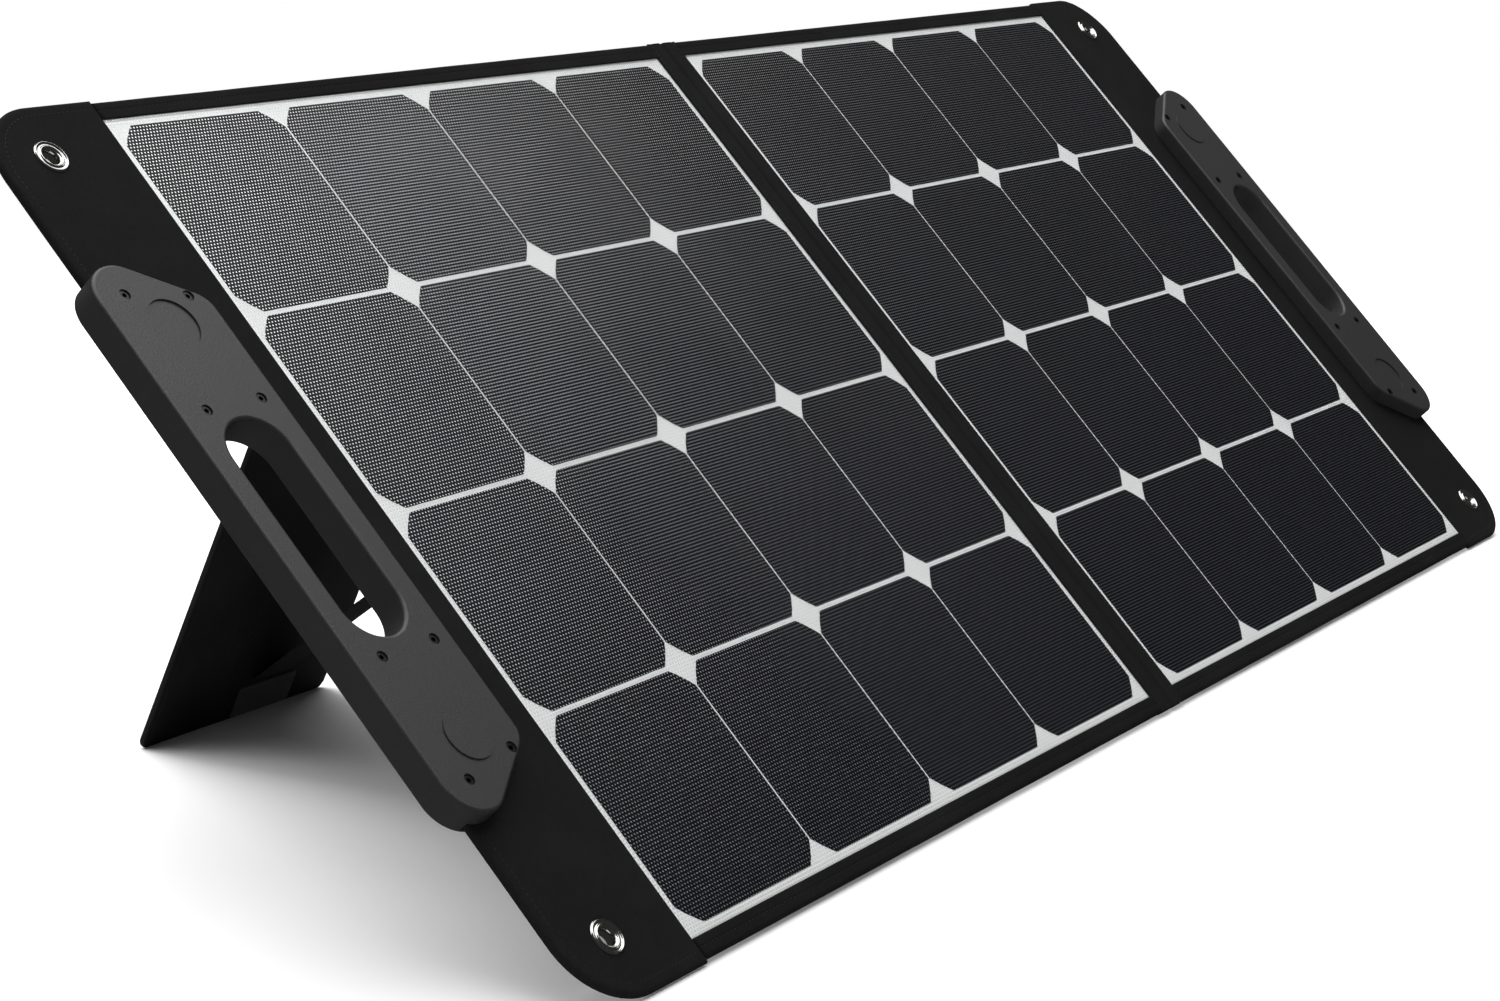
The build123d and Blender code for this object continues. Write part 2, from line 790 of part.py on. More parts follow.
def all_nodes():
    """Name to flat shape, for both leaves and what they share."""
    nodes = {}
    for name, shape in leaf_nodes(raised_end=1).items():
        nodes["right_" + name] = as_group(shape)
    for name, shape in leaf_nodes(raised_end=-1).items():
        nodes["left_" + name] = mirror(as_group(shape), about=Plane.YZ)
    for name, shape in shared_nodes().items():
        nodes[name] = as_group(shape)
    return nodes


def stood_up(nodes):
    """Tilts the flat panel and sets the origin under the middle of its bounding box."""
    tilt = lean()
    tilted = {name: Rot(tilt, 0, 0) * shape for name, shape in nodes.items()}
    boxes = [shape.bounding_box(optimal=True) for shape in tilted.values()]
    mid_x = (min(b.min.X for b in boxes) + max(b.max.X for b in boxes)) / 2
    mid_y = (min(b.min.Y for b in boxes) + max(b.max.Y for b in boxes)) / 2
    low_z = min(b.min.Z for b in boxes)
    shift = Pos(-mid_x, -mid_y, -low_z)
    return {name: shift * shape for name, shape in tilted.items()}, shift, tilt


def say_places(shift, tilt):
    """Prints the joint lines and mounts in the finished frame."""
    frame = shift * Rot(tilt, 0, 0)
    places = {"fold": (0, 0, fold_n), "stand_hinge": (leaf_middle, stand_v, stand_n),
              "slot": (slot_x, 0, 0), "leaf_front": (leaf_middle, 0, front_n),
              "foot": (leaf_middle, *stand_point(stand_length, stand_t / 2)),
              "lower_edge": (leaf_middle, -flap_half_h, back_n)}
    for end, (x, v) in zip(("low", "high"), eyelet_spots()):
        places["eyelet_" + end] = (x, v, (front_n + eyelet_flange_t + back_n - washer_t - eyelet_wall) / 2)
    for name, point in places.items():
        at = (frame * Pos(*point)).position
        print(f"{name}: {at.X:.3f} {at.Y:.3f} {at.Z:.3f}")
    travel = zip_length - 2 * slider_stop - slider_length
    print(f"tilt {tilt:.4f}, stand opening {stand_opening}, slider travel {travel:.3f}")


os.makedirs("parts", exist_ok=True)
finished, shift, tilt = stood_up(all_nodes())
for name, shape in finished.items():
    export_step(shape, f"parts/{name}.step")
say_places(shift, tilt)
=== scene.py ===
import json
import logging
import math
from collections.abc import Callable
from dataclasses import dataclass
from enum import Enum

import bpy
import numpy as np
from mathutils import Matrix, Vector


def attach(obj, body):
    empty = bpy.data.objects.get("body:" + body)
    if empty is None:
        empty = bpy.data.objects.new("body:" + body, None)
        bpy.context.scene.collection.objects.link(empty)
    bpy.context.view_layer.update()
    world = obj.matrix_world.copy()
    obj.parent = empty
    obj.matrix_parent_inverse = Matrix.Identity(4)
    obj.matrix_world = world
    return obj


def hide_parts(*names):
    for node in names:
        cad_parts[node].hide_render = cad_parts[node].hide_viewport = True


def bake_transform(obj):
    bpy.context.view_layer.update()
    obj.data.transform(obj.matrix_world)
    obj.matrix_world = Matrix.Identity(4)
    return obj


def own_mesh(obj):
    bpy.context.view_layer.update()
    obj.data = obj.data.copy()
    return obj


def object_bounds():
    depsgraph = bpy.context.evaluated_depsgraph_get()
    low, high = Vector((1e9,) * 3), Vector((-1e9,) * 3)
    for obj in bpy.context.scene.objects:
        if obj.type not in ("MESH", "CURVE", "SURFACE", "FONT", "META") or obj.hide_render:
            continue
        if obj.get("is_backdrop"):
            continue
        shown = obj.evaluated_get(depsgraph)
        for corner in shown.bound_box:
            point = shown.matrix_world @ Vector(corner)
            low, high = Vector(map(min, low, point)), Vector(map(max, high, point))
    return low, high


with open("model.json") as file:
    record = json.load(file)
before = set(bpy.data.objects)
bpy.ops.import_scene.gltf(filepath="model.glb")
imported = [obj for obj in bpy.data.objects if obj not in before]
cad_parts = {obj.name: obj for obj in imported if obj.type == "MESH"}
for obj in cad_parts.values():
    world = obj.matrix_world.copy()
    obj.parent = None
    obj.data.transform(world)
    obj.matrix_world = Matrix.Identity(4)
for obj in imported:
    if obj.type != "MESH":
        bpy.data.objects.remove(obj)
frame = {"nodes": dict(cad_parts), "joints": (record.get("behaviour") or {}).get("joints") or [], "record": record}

LOG = logging.getLogger("solar_panel")
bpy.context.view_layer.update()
NODES = frame["nodes"]
JOINTS = {joint["name"]: joint for joint in frame["joints"]}
MM = 0.001


# ---------------------------------------------------------------- the leaf's own directions


def vertices(node: str) -> np.ndarray:
    """Every vertex of a CAD node, one row each."""
    mesh = NODES[node].data
    flat = np.zeros(3 * len(mesh.vertices), np.float32)
    mesh.vertices.foreach_get("co", flat)
    return flat.reshape(-1, 3)


def corners_of(points: np.ndarray) -> np.ndarray:
    """Lowest and highest corner of some points."""
    return np.array([points.min(axis=0), points.max(axis=0)])


class LeafFrame:
    """Directions of the open leaves: x outwards from the fold, v up the leaf, n out of its sunny face.

    v is 0 at the leaf's middle and n is 0 where the white back sheet lies on the stiffener board.
    """

    def __init__(self) -> None:
        """Reads the slope from the fold's axis and the zero levels from the frame."""
        down = np.array(JOINTS["fold"]["axis"], float)
        self.up = -down / np.linalg.norm(down)
        self.normal = np.array([0.0, -self.up[2], self.up[1]])
        self.tilt = math.atan2(self.up[2], self.up[1])
        self.origin = np.zeros(3)
        middle = self.span("front_spine").mean(axis=0)
        floor = self.span("right_back_sheet")[0]
        self.origin = middle[1] * self.up + floor[2] * self.normal

    def coordinates(self, points: np.ndarray) -> np.ndarray:
        """Leaf coordinates (x, v, n) of points given in the row frame."""
        away = np.asarray(points, float) - self.origin
        return np.stack([away[..., 0], away @ self.up, away @ self.normal], axis=-1)

    def span(self, node: str) -> np.ndarray:
        """Lowest and highest corner of a CAD node, in leaf coordinates."""
        return corners_of(self.coordinates(vertices(node)))

    def place(self, x: np.ndarray, v: np.ndarray, n: np.ndarray) -> np.ndarray:
        """Row-frame points for leaf coordinates, which may be arrays of any matching shape."""
        x, v, n = np.broadcast_arrays(*(np.asarray(a, float) for a in (x, v, n)))
        return x[..., None] * np.array([1.0, 0, 0]) + v[..., None] * self.up \
            + n[..., None] * self.normal + self.origin


LEAF = LeafFrame()


# ---------------------------------------------------------------- shader building


class Sock:
    """A number inside a shader. Python's operators on it add Math nodes."""

    def __init__(self, graph: "Graph", link: bpy.types.NodeSocket) -> None:
        """Wraps one output socket of a graph's node."""
        self.graph = graph
        self.link = link

    def math(self, operation: str, *others: "Sock | float") -> "Sock":
        """This number put through one Math node with the others."""
        values = {i: value for i, value in enumerate((self, *others))}
        made = self.graph.node("ShaderNodeMath", {"operation": operation}, values)
        return Sock(self.graph, made.outputs[0])

    def __add__(self, other: "Sock | float") -> "Sock":
        """Sum."""
        return self.math("ADD", other)

    def __sub__(self, other: "Sock | float") -> "Sock":
        """Difference."""
        return self.math("SUBTRACT", other)

    def __mul__(self, other: "Sock | float") -> "Sock":
        """Product."""
        return self.math("MULTIPLY", other)

    def __truediv__(self, other: "Sock | float") -> "Sock":
        """Quotient."""
        return self.math("DIVIDE", other)

    def __rsub__(self, other: float) -> "Sock":
        """Difference, with the number first."""
        return self.math("MULTIPLY_ADD", -1.0, other)

    __radd__ = __add__
    __rmul__ = __mul__

    def sin(self) -> "Sock":
        """Sine, of radians."""
        return self.math("SINE")

    def abs(self) -> "Sock":
        """Size without sign."""
        return self.math("ABSOLUTE")

    def power(self, exponent: float) -> "Sock":
        """This number to a power."""
        return self.math("POWER", exponent)

    def over(self, low: float, high: float) -> "Sock":
        """Rises smoothly from 0 at low to 1 at high."""
        made = self.graph.node("ShaderNodeMapRange", {"interpolation_type": "SMOOTHSTEP"},
                               {"Value": self, "From Min": low, "From Max": high})
        return Sock(self.graph, made.outputs[0])


class Graph:
    """The node tree of one material."""

    def __init__(self, name: str) -> None:
        """Makes an empty material of that name."""
        self.material = bpy.data.materials.new(name)
        self.material.use_nodes = True
        self.tree = self.material.node_tree
        self.tree.nodes.clear()

    def node(self, kind: str, settings: dict | None = None, inputs: dict | None = None) -> bpy.types.Node:
        """Adds one node.

        Args:
            kind: the node's type.
            settings: properties, set before anything else.
            inputs: values, wrapped numbers or output sockets, by input name or index.

        Returns:
            The node.
        """
        made = self.tree.nodes.new(kind)
        for name, value in (settings or {}).items():
            setattr(made, name, value)
        for key, value in (inputs or {}).items():
            value = value.link if isinstance(value, Sock) else value
            if isinstance(value, bpy.types.NodeSocket):
                self.tree.links.new(value, made.inputs[key])
            else:
                made.inputs[key].default_value = value
        return made

    def on_surface(self) -> tuple[Sock, Sock]:
        """The piece's own UV map, in metres along and across its cloth."""
        uv = self.node("ShaderNodeUVMap", {"uv_map": "UVMap"}).outputs["UV"]
        parts = self.node("ShaderNodeSeparateXYZ", None, {0: uv}).outputs
        return Sock(self, parts[0]), Sock(self, parts[1])

    def turned(self) -> bpy.types.NodeSocket:
        """Object coordinates turned into the leaf's x, v and n directions."""
        where = self.node("ShaderNodeTexCoord").outputs["Object"]
        turn = (-LEAF.tilt, 0, 0)
        return self.node("ShaderNodeMapping", None, {"Vector": where, "Rotation": turn}).outputs[0]

    def noise(self, scale: float, detail: float = 3.0, rough: float = 0.55,
              stretch: tuple[float, float, float] = (1, 1, 1)) -> Sock:
        """Soft noise in the leaf's directions, scale in lumps per metre."""
        where = self.node("ShaderNodeVectorMath", {"operation": "MULTIPLY"}, {0: self.turned(), 1: stretch})
        made = self.node("ShaderNodeTexNoise", None, {"Vector": where.outputs[0], "Scale": scale,
                                                      "Detail": detail, "Roughness": rough})
        return Sock(self, made.outputs["Fac"])

    def mixed(self, share: "Sock | float", low: tuple, high: tuple) -> bpy.types.NodeSocket:
        """Colour between two colours."""
        made = self.node("ShaderNodeMix", {"data_type": "RGBA"},
                         {"Factor": share, 6: (*low, 1), 7: (*high, 1)})
        return made.outputs[2]

    def bumped(self, height: Sock, depth: float, under: bpy.types.NodeSocket | None = None
               ) -> bpy.types.NodeSocket:
        """Normal of a surface that a height from 0 to 1 raises by depth metres."""
        inputs = {"Height": height, "Distance": depth, "Strength": 1.0}
        if under is not None:
            inputs["Normal"] = under
        return self.node("ShaderNodeBump", None, inputs).outputs[0]

    def finish(self, shader: bpy.types.NodeSocket) -> bpy.types.Material:
        """Joins the last shader to the output and returns the material."""
        self.node("ShaderNodeOutputMaterial", None, {"Surface": shader})
        return self.material

    def principled(self, **inputs: object) -> bpy.types.Material:
        """Ends the material with one Principled shader. Input names have _ for spaces."""
        named = {name.replace("_", " "): value for name, value in inputs.items()}
        return self.finish(self.node("ShaderNodeBsdfPrincipled", None, named).outputs[0])


class Weave(Enum):
    """How a cloth's threads cross."""

    PLAIN = "one over, one under"
    WEBBING = "heavy warp ribs along the strap"


@dataclass(frozen=True)
class Cloth:
    """Dyed polyester cloth."""

    name: str
    colour: tuple[float, float, float]
    pitch: float = 0.62 * MM
    depth: float = 0.10 * MM
    weave: Weave = Weave.PLAIN
    roughness: float = 0.86
    gloss: float = 0.05

    def material(self) -> bpy.types.Material:
        """Threads as sines of the cloth's own metres, with worn lighter patches and a faint mottle."""
        g = Graph(self.name)
        u, v = g.on_surface()
        turn = math.pi / self.pitch
        across = (u * turn).sin()
        along = (v * turn).sin()
        threads = across * along
        if self.weave is Weave.WEBBING:
            threads = (u * (turn / 2)).sin().abs() * 0.7 + threads * 0.3
        slub = g.noise(900, 2.0, 0.6, (1, 0.25, 1))
        height = threads * 0.5 + 0.5 + slub * 0.5
        wear = g.noise(14, 4.0, 0.6)
        tint = (wear.over(0.35, 0.75) * 0.45 + threads * 0.12 + slub.over(0.3, 0.8) * 0.3)
        light = tuple(c * 1.9 for c in self.colour)
        return g.principled(Base_Color=g.mixed(tint, self.colour, light),
                            Roughness=wear * 0.16 + (self.roughness - 0.08),
                            Specular_IOR_Level=self.gloss, Normal=g.bumped(height, self.depth))


@dataclass(frozen=True)
class Moulding:
    """Moulded plastic with a spark-eroded grain."""

    name: str
    colour: tuple[float, float, float]
    grain: float = 1150.0
    depth: float = 0.12 * MM
    roughness: float = 0.5

    def material(self) -> bpy.types.Material:
        """Fine pitted grain over a broad, faint flow mottle."""
        g = Graph(self.name)
        pits = g.noise(self.grain, 2.0, 0.5)
        flow = g.noise(9, 3.0, 0.5)
        tint = pits.over(0.35, 0.7) * 0.35 + flow * 0.25
        light = tuple(c * 1.7 for c in self.colour)
        return g.principled(Base_Color=g.mixed(tint, self.colour, light),
                            Roughness=flow * 0.12 + pits * 0.12 + (self.roughness - 0.12),
                            Specular_IOR_Level=0.5, Normal=g.bumped(pits, self.depth))


@dataclass(frozen=True)
class Metal:
    """Plated or blackened metal."""

    name: str
    colour: tuple[float, float, float]
    roughness: float = 0.2
    metallic: float = 1.0

    def material(self) -> bpy.types.Material:
        """Hairline scratches and a cloudy tarnish in the roughness."""
        g = Graph(self.name)
        cloud = g.noise(260, 4.0, 0.6)
        scratch = g.noise(1400, 2.0, 0.5, (1, 0.06, 1))
        worn = tuple(min(1.0, c * 1.15) for c in self.colour)
        return g.principled(Base_Color=g.mixed(cloud, self.colour, worn), Metallic=self.metallic,
                            Roughness=cloud * 0.10 + scratch.over(0.55, 0.75) * 0.06 + self.roughness,
                            Normal=g.bumped(scratch, 0.002 * MM))


@dataclass(frozen=True)
class Plain:
    """A hard sheet, foam or board: one colour with a grain of its own."""

    name: str
    colour: tuple[float, float, float]
    grain: float = 300.0
    depth: float = 0.05 * MM
    roughness: float = 0.6
    change: float = 1.3

    def material(self) -> bpy.types.Material:
        """Grain in colour, roughness and height alike."""
        g = Graph(self.name)
        grain = g.noise(self.grain, 4.0, 0.6)
        other = tuple(min(1.0, c * self.change) for c in self.colour)
        return g.principled(Base_Color=g.mixed(grain, self.colour, other),
                            Roughness=grain * 0.15 + (self.roughness - 0.07),
                            Normal=g.bumped(grain, self.depth))


@dataclass(frozen=True)
class CellFace:
    """Back-contact wafer: even blue-black with no fingers on its face."""

    name: str = "cell_face"
    colour: tuple[float, float, float] = (0.0026, 0.0029, 0.0052)

    def material(self) -> bpy.types.Material:
        """Etched silicon: a fine crystal mottle, and a little more blue in some wafers."""
        g = Graph(self.name)
        etched = g.noise(2600, 2.0, 0.6)
        wafer = g.noise(7, 1.0, 0.5)
        bluer = (self.colour[0] * 1.2, self.colour[1] * 1.3, self.colour[2] * 1.7)
        return g.principled(Base_Color=g.mixed(wafer * 0.6 + etched * 0.4, self.colour, bluer),
                            Roughness=etched * 0.2 + 0.3, Specular_IOR_Level=0.1,
                            Normal=g.bumped(etched, 0.01 * MM))


@dataclass(frozen=True)
class Film:
    """Clear film embossed with a close triangular lattice of round dimples."""

    name: str = "embossed_film"
    row: float = 2.07 * MM
    slope: float = 0.13
    floor_share: float = 0.005
    peak_share: float = 1.35
    steepness: float = 4.5
    grazing: tuple[float, float] = (5.0, 3.0)
    warp: float = 0.03
    roughness: float = 0.28

    def material(self) -> bpy.types.Material:
        """Dimples as three crossed waves, 60 degrees apart, that set both the slope and the gloss.

        The waves run along v and 30 degrees each side of x. Their height is the sum of the cosines,
        so the slopes along u and v are sums of sines. Each dimple's crown is the glossy part: the
        share of gloss is a steep power of the height, times a rise towards grazing view that is a
        power of the facing. Only the side that faces out is glossy.
        """
        g = Graph(self.name)
        u, v = g.on_surface()
        turn = 2 * math.pi / self.row
        lean, rise = math.cos(math.radians(30)), math.sin(math.radians(30))
        waves = (v * turn, u * (turn * lean) + v * (turn * rise), u * (turn * lean) - v * (turn * rise))
        first, second, third = (wave.sin() for wave in waves)
        crests = [wave.math("COSINE") for wave in waves]
        height = (crests[0] + crests[1] + crests[2] + 1.5) / 4.5
        uneven = g.noise(420, 2.0, 0.7) * 1.1 + 0.45
        wave_u = (g.noise(11, 2.0, 0.5) - 0.5) * self.warp
        wave_v = (g.noise(13, 2.0, 0.5, (1, 1.3, 1)) - 0.5) * self.warp
        slope_u = (second + third) * uneven * (self.slope * lean * 0.577) + wave_u
        slope_v = (first + (second - third) * rise) * uneven * (self.slope * 0.577) + wave_v
        colour = g.node("ShaderNodeCombineXYZ", None,
                        {0: slope_u * 0.5 + 0.5, 1: slope_v * 0.5 + 0.5, 2: 1.0})
        normal = g.node("ShaderNodeNormalMap", {"uv_map": "UVMap"}, {"Color": colour.outputs[0]}).outputs[0]
        shine = g.node("ShaderNodeBsdfGlossy", None, {"Color": (1, 1, 1, 1), "Roughness": self.roughness,
                                                      "Normal": normal})
        clear = g.node("ShaderNodeBsdfTransparent", None, {"Color": (0.985, 0.99, 0.99, 1)})
        facing = Sock(g, g.node("ShaderNodeLayerWeight", None, {"Blend": 0.5}).outputs["Facing"])
        behind = Sock(g, g.node("ShaderNodeNewGeometry").outputs["Backfacing"])
        crown = height.power(self.steepness) * (uneven * self.peak_share) + self.floor_share
        graze = facing.power(self.grazing[0]) * self.grazing[1] + 1.0
        share = (crown * graze * (1 - behind)).math("MINIMUM", 1.0)
        return g.finish(g.node("ShaderNodeMixShader", None, {0: share, 1: clear.outputs[0],
                                                              2: shine.outputs[0]}).outputs[0])


@dataclass(frozen=True)
class Paper:
    """Studio floor, which fades out towards its rim."""

    name: str = "studio_floor"
    colour: tuple[float, float, float] = (0.93, 0.93, 0.93)
    fade: tuple[float, float] = (1.2, 2.5)

    def material(self) -> bpy.types.Material:
        """Matt white paper with a faint tooth. Its cover falls from 1 to 0 with distance from the middle."""
        g = Graph(self.name)
        where = g.node("ShaderNodeTexCoord").outputs["Object"]
        away = Sock(g, g.node("ShaderNodeVectorMath", {"operation": "LENGTH"}, {0: where}).outputs["Value"])
        return g.principled(Base_Color=(*self.colour, 1), Roughness=0.9, Specular_IOR_Level=0.1,
                            Alpha=1 - away.over(*self.fade))


FINISHES = {finish.name: finish for finish in (
    Cloth("flap_cloth", (0.0085, 0.0085, 0.0088)),
    Cloth("binding_tape", (0.0075, 0.0075, 0.0078), pitch=0.9 * MM, depth=0.14 * MM),
    # painted light: back_cloth's colour is set more than twice as light as the flap cloth's to make up for the dim
    # light that reaches the panel's back
    Cloth("back_cloth", (0.0200, 0.0200, 0.0208), pitch=0.9 * MM, depth=0.14 * MM),
    Cloth("spine_cloth", (0.0085, 0.0085, 0.0088), pitch=0.7 * MM),
    # painted light: stand_cloth's colour is set lighter than the flap cloth's to make up for the dim light on the
    # stands
    Cloth("stand_cloth", (0.0120, 0.0120, 0.0125)),
    Cloth("webbing", (0.0160, 0.0160, 0.0166), pitch=1.5 * MM, depth=0.3 * MM, weave=Weave.WEBBING),
    Cloth("zip_tape", (0.0130, 0.0130, 0.0136), pitch=0.5 * MM),
    Cloth("thread", (0.0110, 0.0110, 0.0114), pitch=0.3 * MM, depth=0.05 * MM, roughness=0.6, gloss=0.2),
    Cloth("hook_and_loop", (0.0180, 0.0180, 0.0190), pitch=1.2 * MM, roughness=0.4, gloss=0.5),
    Moulding("handle_shell", (0.0190, 0.0190, 0.0196), roughness=0.46),
    Moulding("box_plastic", (0.015, 0.015, 0.016), grain=900),
    Metal("nickel", (0.42, 0.415, 0.40), roughness=0.11),
    Metal("screw_steel", (0.030, 0.030, 0.032), roughness=0.28),
    Metal("magnet", (0.62, 0.62, 0.63), roughness=0.2),
    Metal("zip_metal", (0.05, 0.05, 0.052), roughness=0.35),
    Plain("tab", (0.72, 0.73, 0.74), grain=200, roughness=0.45, change=1.05),
    Plain("board", (0.06, 0.06, 0.065), roughness=0.5),
    Plain("foam", (0.03, 0.03, 0.03), grain=1200, depth=0.2 * MM, roughness=0.9),
    Plain("white_sheet", (0.76, 0.76, 0.755), grain=60, roughness=0.6, change=1.05),
    Plain("circuit", (0.02, 0.14, 0.06), grain=150, roughness=0.35),
)} | {"cell": CellFace(), "clear_film": Film()}


# ---------------------------------------------------------------- meshes


def put(name: str, points: np.ndarray, faces: np.ndarray, uv: np.ndarray | None = None,
        smooth: bool = True) -> bpy.types.Object:
    """One mesh object from arrays, turned right side out.

    Args:
        name: the piece's name.
        points: every vertex, one row each.
        faces: vertex numbers, four to a face.
        uv: metres along and across the surface, one row for each vertex.
        smooth: whether faces are shaded smooth.

    Returns:
        The new object, at the origin.
    """
    used, faces = np.unique(faces, return_inverse=True)
    faces = faces.reshape(-1, 4)
    points = points.reshape(-1, 3)[used]
    corners = points[faces] - points.mean(axis=0)
    diagonals = np.cross(corners[:, 2] - corners[:, 0], corners[:, 3] - corners[:, 1])
    if (corners.mean(axis=1) * diagonals).sum() < 0:
        faces = faces[:, ::-1]
    mesh = bpy.data.meshes.new(name)
    mesh.from_pydata(points.tolist(), [], faces.tolist())
    if uv is not None:
        layer = mesh.uv_layers.new(name="UVMap")
        layer.data.foreach_set("uv", uv.reshape(-1, 2)[used][faces.ravel()].astype(np.float32).ravel())
    mesh.polygons.foreach_set("use_smooth", np.full(len(faces), smooth))
    mesh.update()
    made = bpy.data.objects.new(name, mesh)
    bpy.context.scene.collection.objects.link(made)
    return made


def two_skins(name: str, outer: np.ndarray, inner: np.ndarray, uv: np.ndarray,
              keep: np.ndarray | None = None) -> bpy.types.Object:
    """Closed sheet from two grids of the same shape, walled together round every edge and hole.

    Args:
        name: the piece's name.
        outer: points of the side that faces out, rows by columns.
        inner: points of the other side.
        uv: metres along and across the sheet, for each point.
        keep: which grid cells are cloth. The others are holes.

    Returns:
        The new object.
    """
    rows, columns = outer.shape[:2]
    count = rows * columns
    index = np.arange(count).reshape(rows, columns)
    quads = np.stack([index[:-1, :-1], index[:-1, 1:], index[1:, 1:], index[1:, :-1]], axis=-1)
    quads = quads[np.ones((rows - 1, columns - 1), bool) if keep is None else keep]
    edges = np.concatenate([quads[:, [i, (i + 1) % 4]] for i in range(4)])
    lonely = ~np.isin(edges[:, 0] * count + edges[:, 1], edges[:, 1] * count + edges[:, 0])
    rim = edges[lonely]
    walls = np.stack([rim[:, 1], rim[:, 0], rim[:, 0] + count, rim[:, 1] + count], axis=-1)
    faces = np.concatenate([quads, quads[:, ::-1] + count, walls])
    points = np.concatenate([outer.reshape(-1, 3), inner.reshape(-1, 3)])
    return put(name, points, faces, np.concatenate([uv.reshape(-1, 2)] * 2))


def rounded(depth: np.ndarray, radius: float) -> np.ndarray:
    """Share of the full thickness at a distance in from an edge: a quarter ellipse, never quite 0."""
    away = 1 - np.clip(depth / radius, 0, 1)
    return np.sqrt(np.clip(1 - away ** 2, 0.02, 1))


def halves(low: float, high: float) -> tuple[float, float]:
    """Middle and half length of a range."""
    return (low + high) / 2, (high - low) / 2


def groove(away: np.ndarray, width: float) -> np.ndarray:
    """Bell-shaped dip, 1 where away is 0 and gone about two widths off."""
    return np.exp(-(away / width) ** 2)


def ripple(u: np.ndarray, w: np.ndarray, length: float, seed: int) -> np.ndarray:
    """Slow unevenness between -1 and 1: the mean of six crossed waves no shorter than length."""
    draw = np.random.default_rng(seed)
    turns = draw.uniform(-1, 1, (6, 2)) * 2 * math.pi / length
    phases = draw.uniform(0, 2 * math.pi, 6)
    return np.sin(u[..., None] * turns[:, 0] + w[..., None] * turns[:, 1] + phases).mean(axis=-1)


@dataclass
class Outline:
    """Rectangle, u by w metres, whose corners are rounded. One cloth piece lies in it."""

    low: tuple[float, float]
    high: tuple[float, float]
    corners: tuple[float, float] = (0.0, 0.0)
    step: float = 5 * MM
    soft: float = 2.5 * MM

    @classmethod
    def of(cls, low: np.ndarray, high: np.ndarray, corner: float, step: float, soft: float) -> "Outline":
        """Outline between a node's two corners, with one radius at every corner."""
        return cls(tuple(low[:2]), tuple(high[:2]), (corner, corner), step, soft)

    def lines(self, low: float, high: float) -> np.ndarray:
        """Evenly spaced numbers, with closer ones near both ends."""
        near = self.soft * (1 - np.cos(np.linspace(0, math.pi / 2, 6)))[:-1]
        count = max(2, int((high - low - 2 * self.soft) / self.step) + 1)
        return np.concatenate([low + near, np.linspace(low + self.soft, high - self.soft, count),
                               (high - near)[::-1]])

    def grid(self) -> tuple[np.ndarray, np.ndarray, np.ndarray]:
        """Grid that follows the rounded corners.

        Each row is drawn in towards the middle by what the corner circle cuts off there.

        Returns:
            u, w and the distance in from the outline, at each point.
        """
        u, w = np.meshgrid(self.lines(self.low[0], self.high[0]), self.lines(self.low[1], self.high[1]))
        middle = [(a + b) / 2 for a, b in zip(self.low, self.high)]
        half = [(b - a) / 2 for a, b in zip(self.low, self.high)]
        corner = np.where(u > middle[0], self.corners[1], self.corners[0])
        past = np.clip(np.abs(w - middle[1]) - (half[1] - corner), 0, corner)
        cut = corner - np.sqrt(corner ** 2 - past ** 2)
        u = middle[0] + (u - middle[0]) * (half[0] - cut) / half[0]
        over = np.abs(u - middle[0]) - (half[0] - corner), np.abs(w - middle[1]) - (half[1] - corner)
        near = np.hypot(np.clip(over[0], 0, None), np.clip(over[1], 0, None))
        return u, w, corner - near - np.minimum(np.maximum(*over), 0)


Place = Callable[[np.ndarray, np.ndarray, np.ndarray], np.ndarray]


def inset_line(low: np.ndarray, high: np.ndarray, inset: float) -> tuple[np.ndarray, np.ndarray]:
    """Closed line that runs round a rectangle at an inset, as its two coordinates."""
    u = np.array([low[0], high[0], high[0], low[0], low[0]]) + inset * np.array([1, -1, -1, 1, 1])
    w = np.array([low[1], low[1], high[1], high[1], low[1]]) + inset * np.array([1, 1, -1, -1, 1])
    return u, w


def sewn(name: str, grid: tuple[np.ndarray, np.ndarray], heights: tuple[np.ndarray, np.ndarray], place: Place,
         keep: np.ndarray | None = None) -> bpy.types.Object:
    """Cloth piece between two heights over a grid.

    Args:
        name: the piece's name.
        grid: u and w, the cloth's own metres.
        heights: height of the front and of the back skin over the grid.
        place: gives row-frame points for u, w and a height.
        keep: which grid cells are cloth.

    Returns:
        The new object.
    """
    u, w = grid
    return two_skins(name, place(u, w, heights[0]), place(u, w, heights[1]), np.stack([u, w], axis=-1), keep)


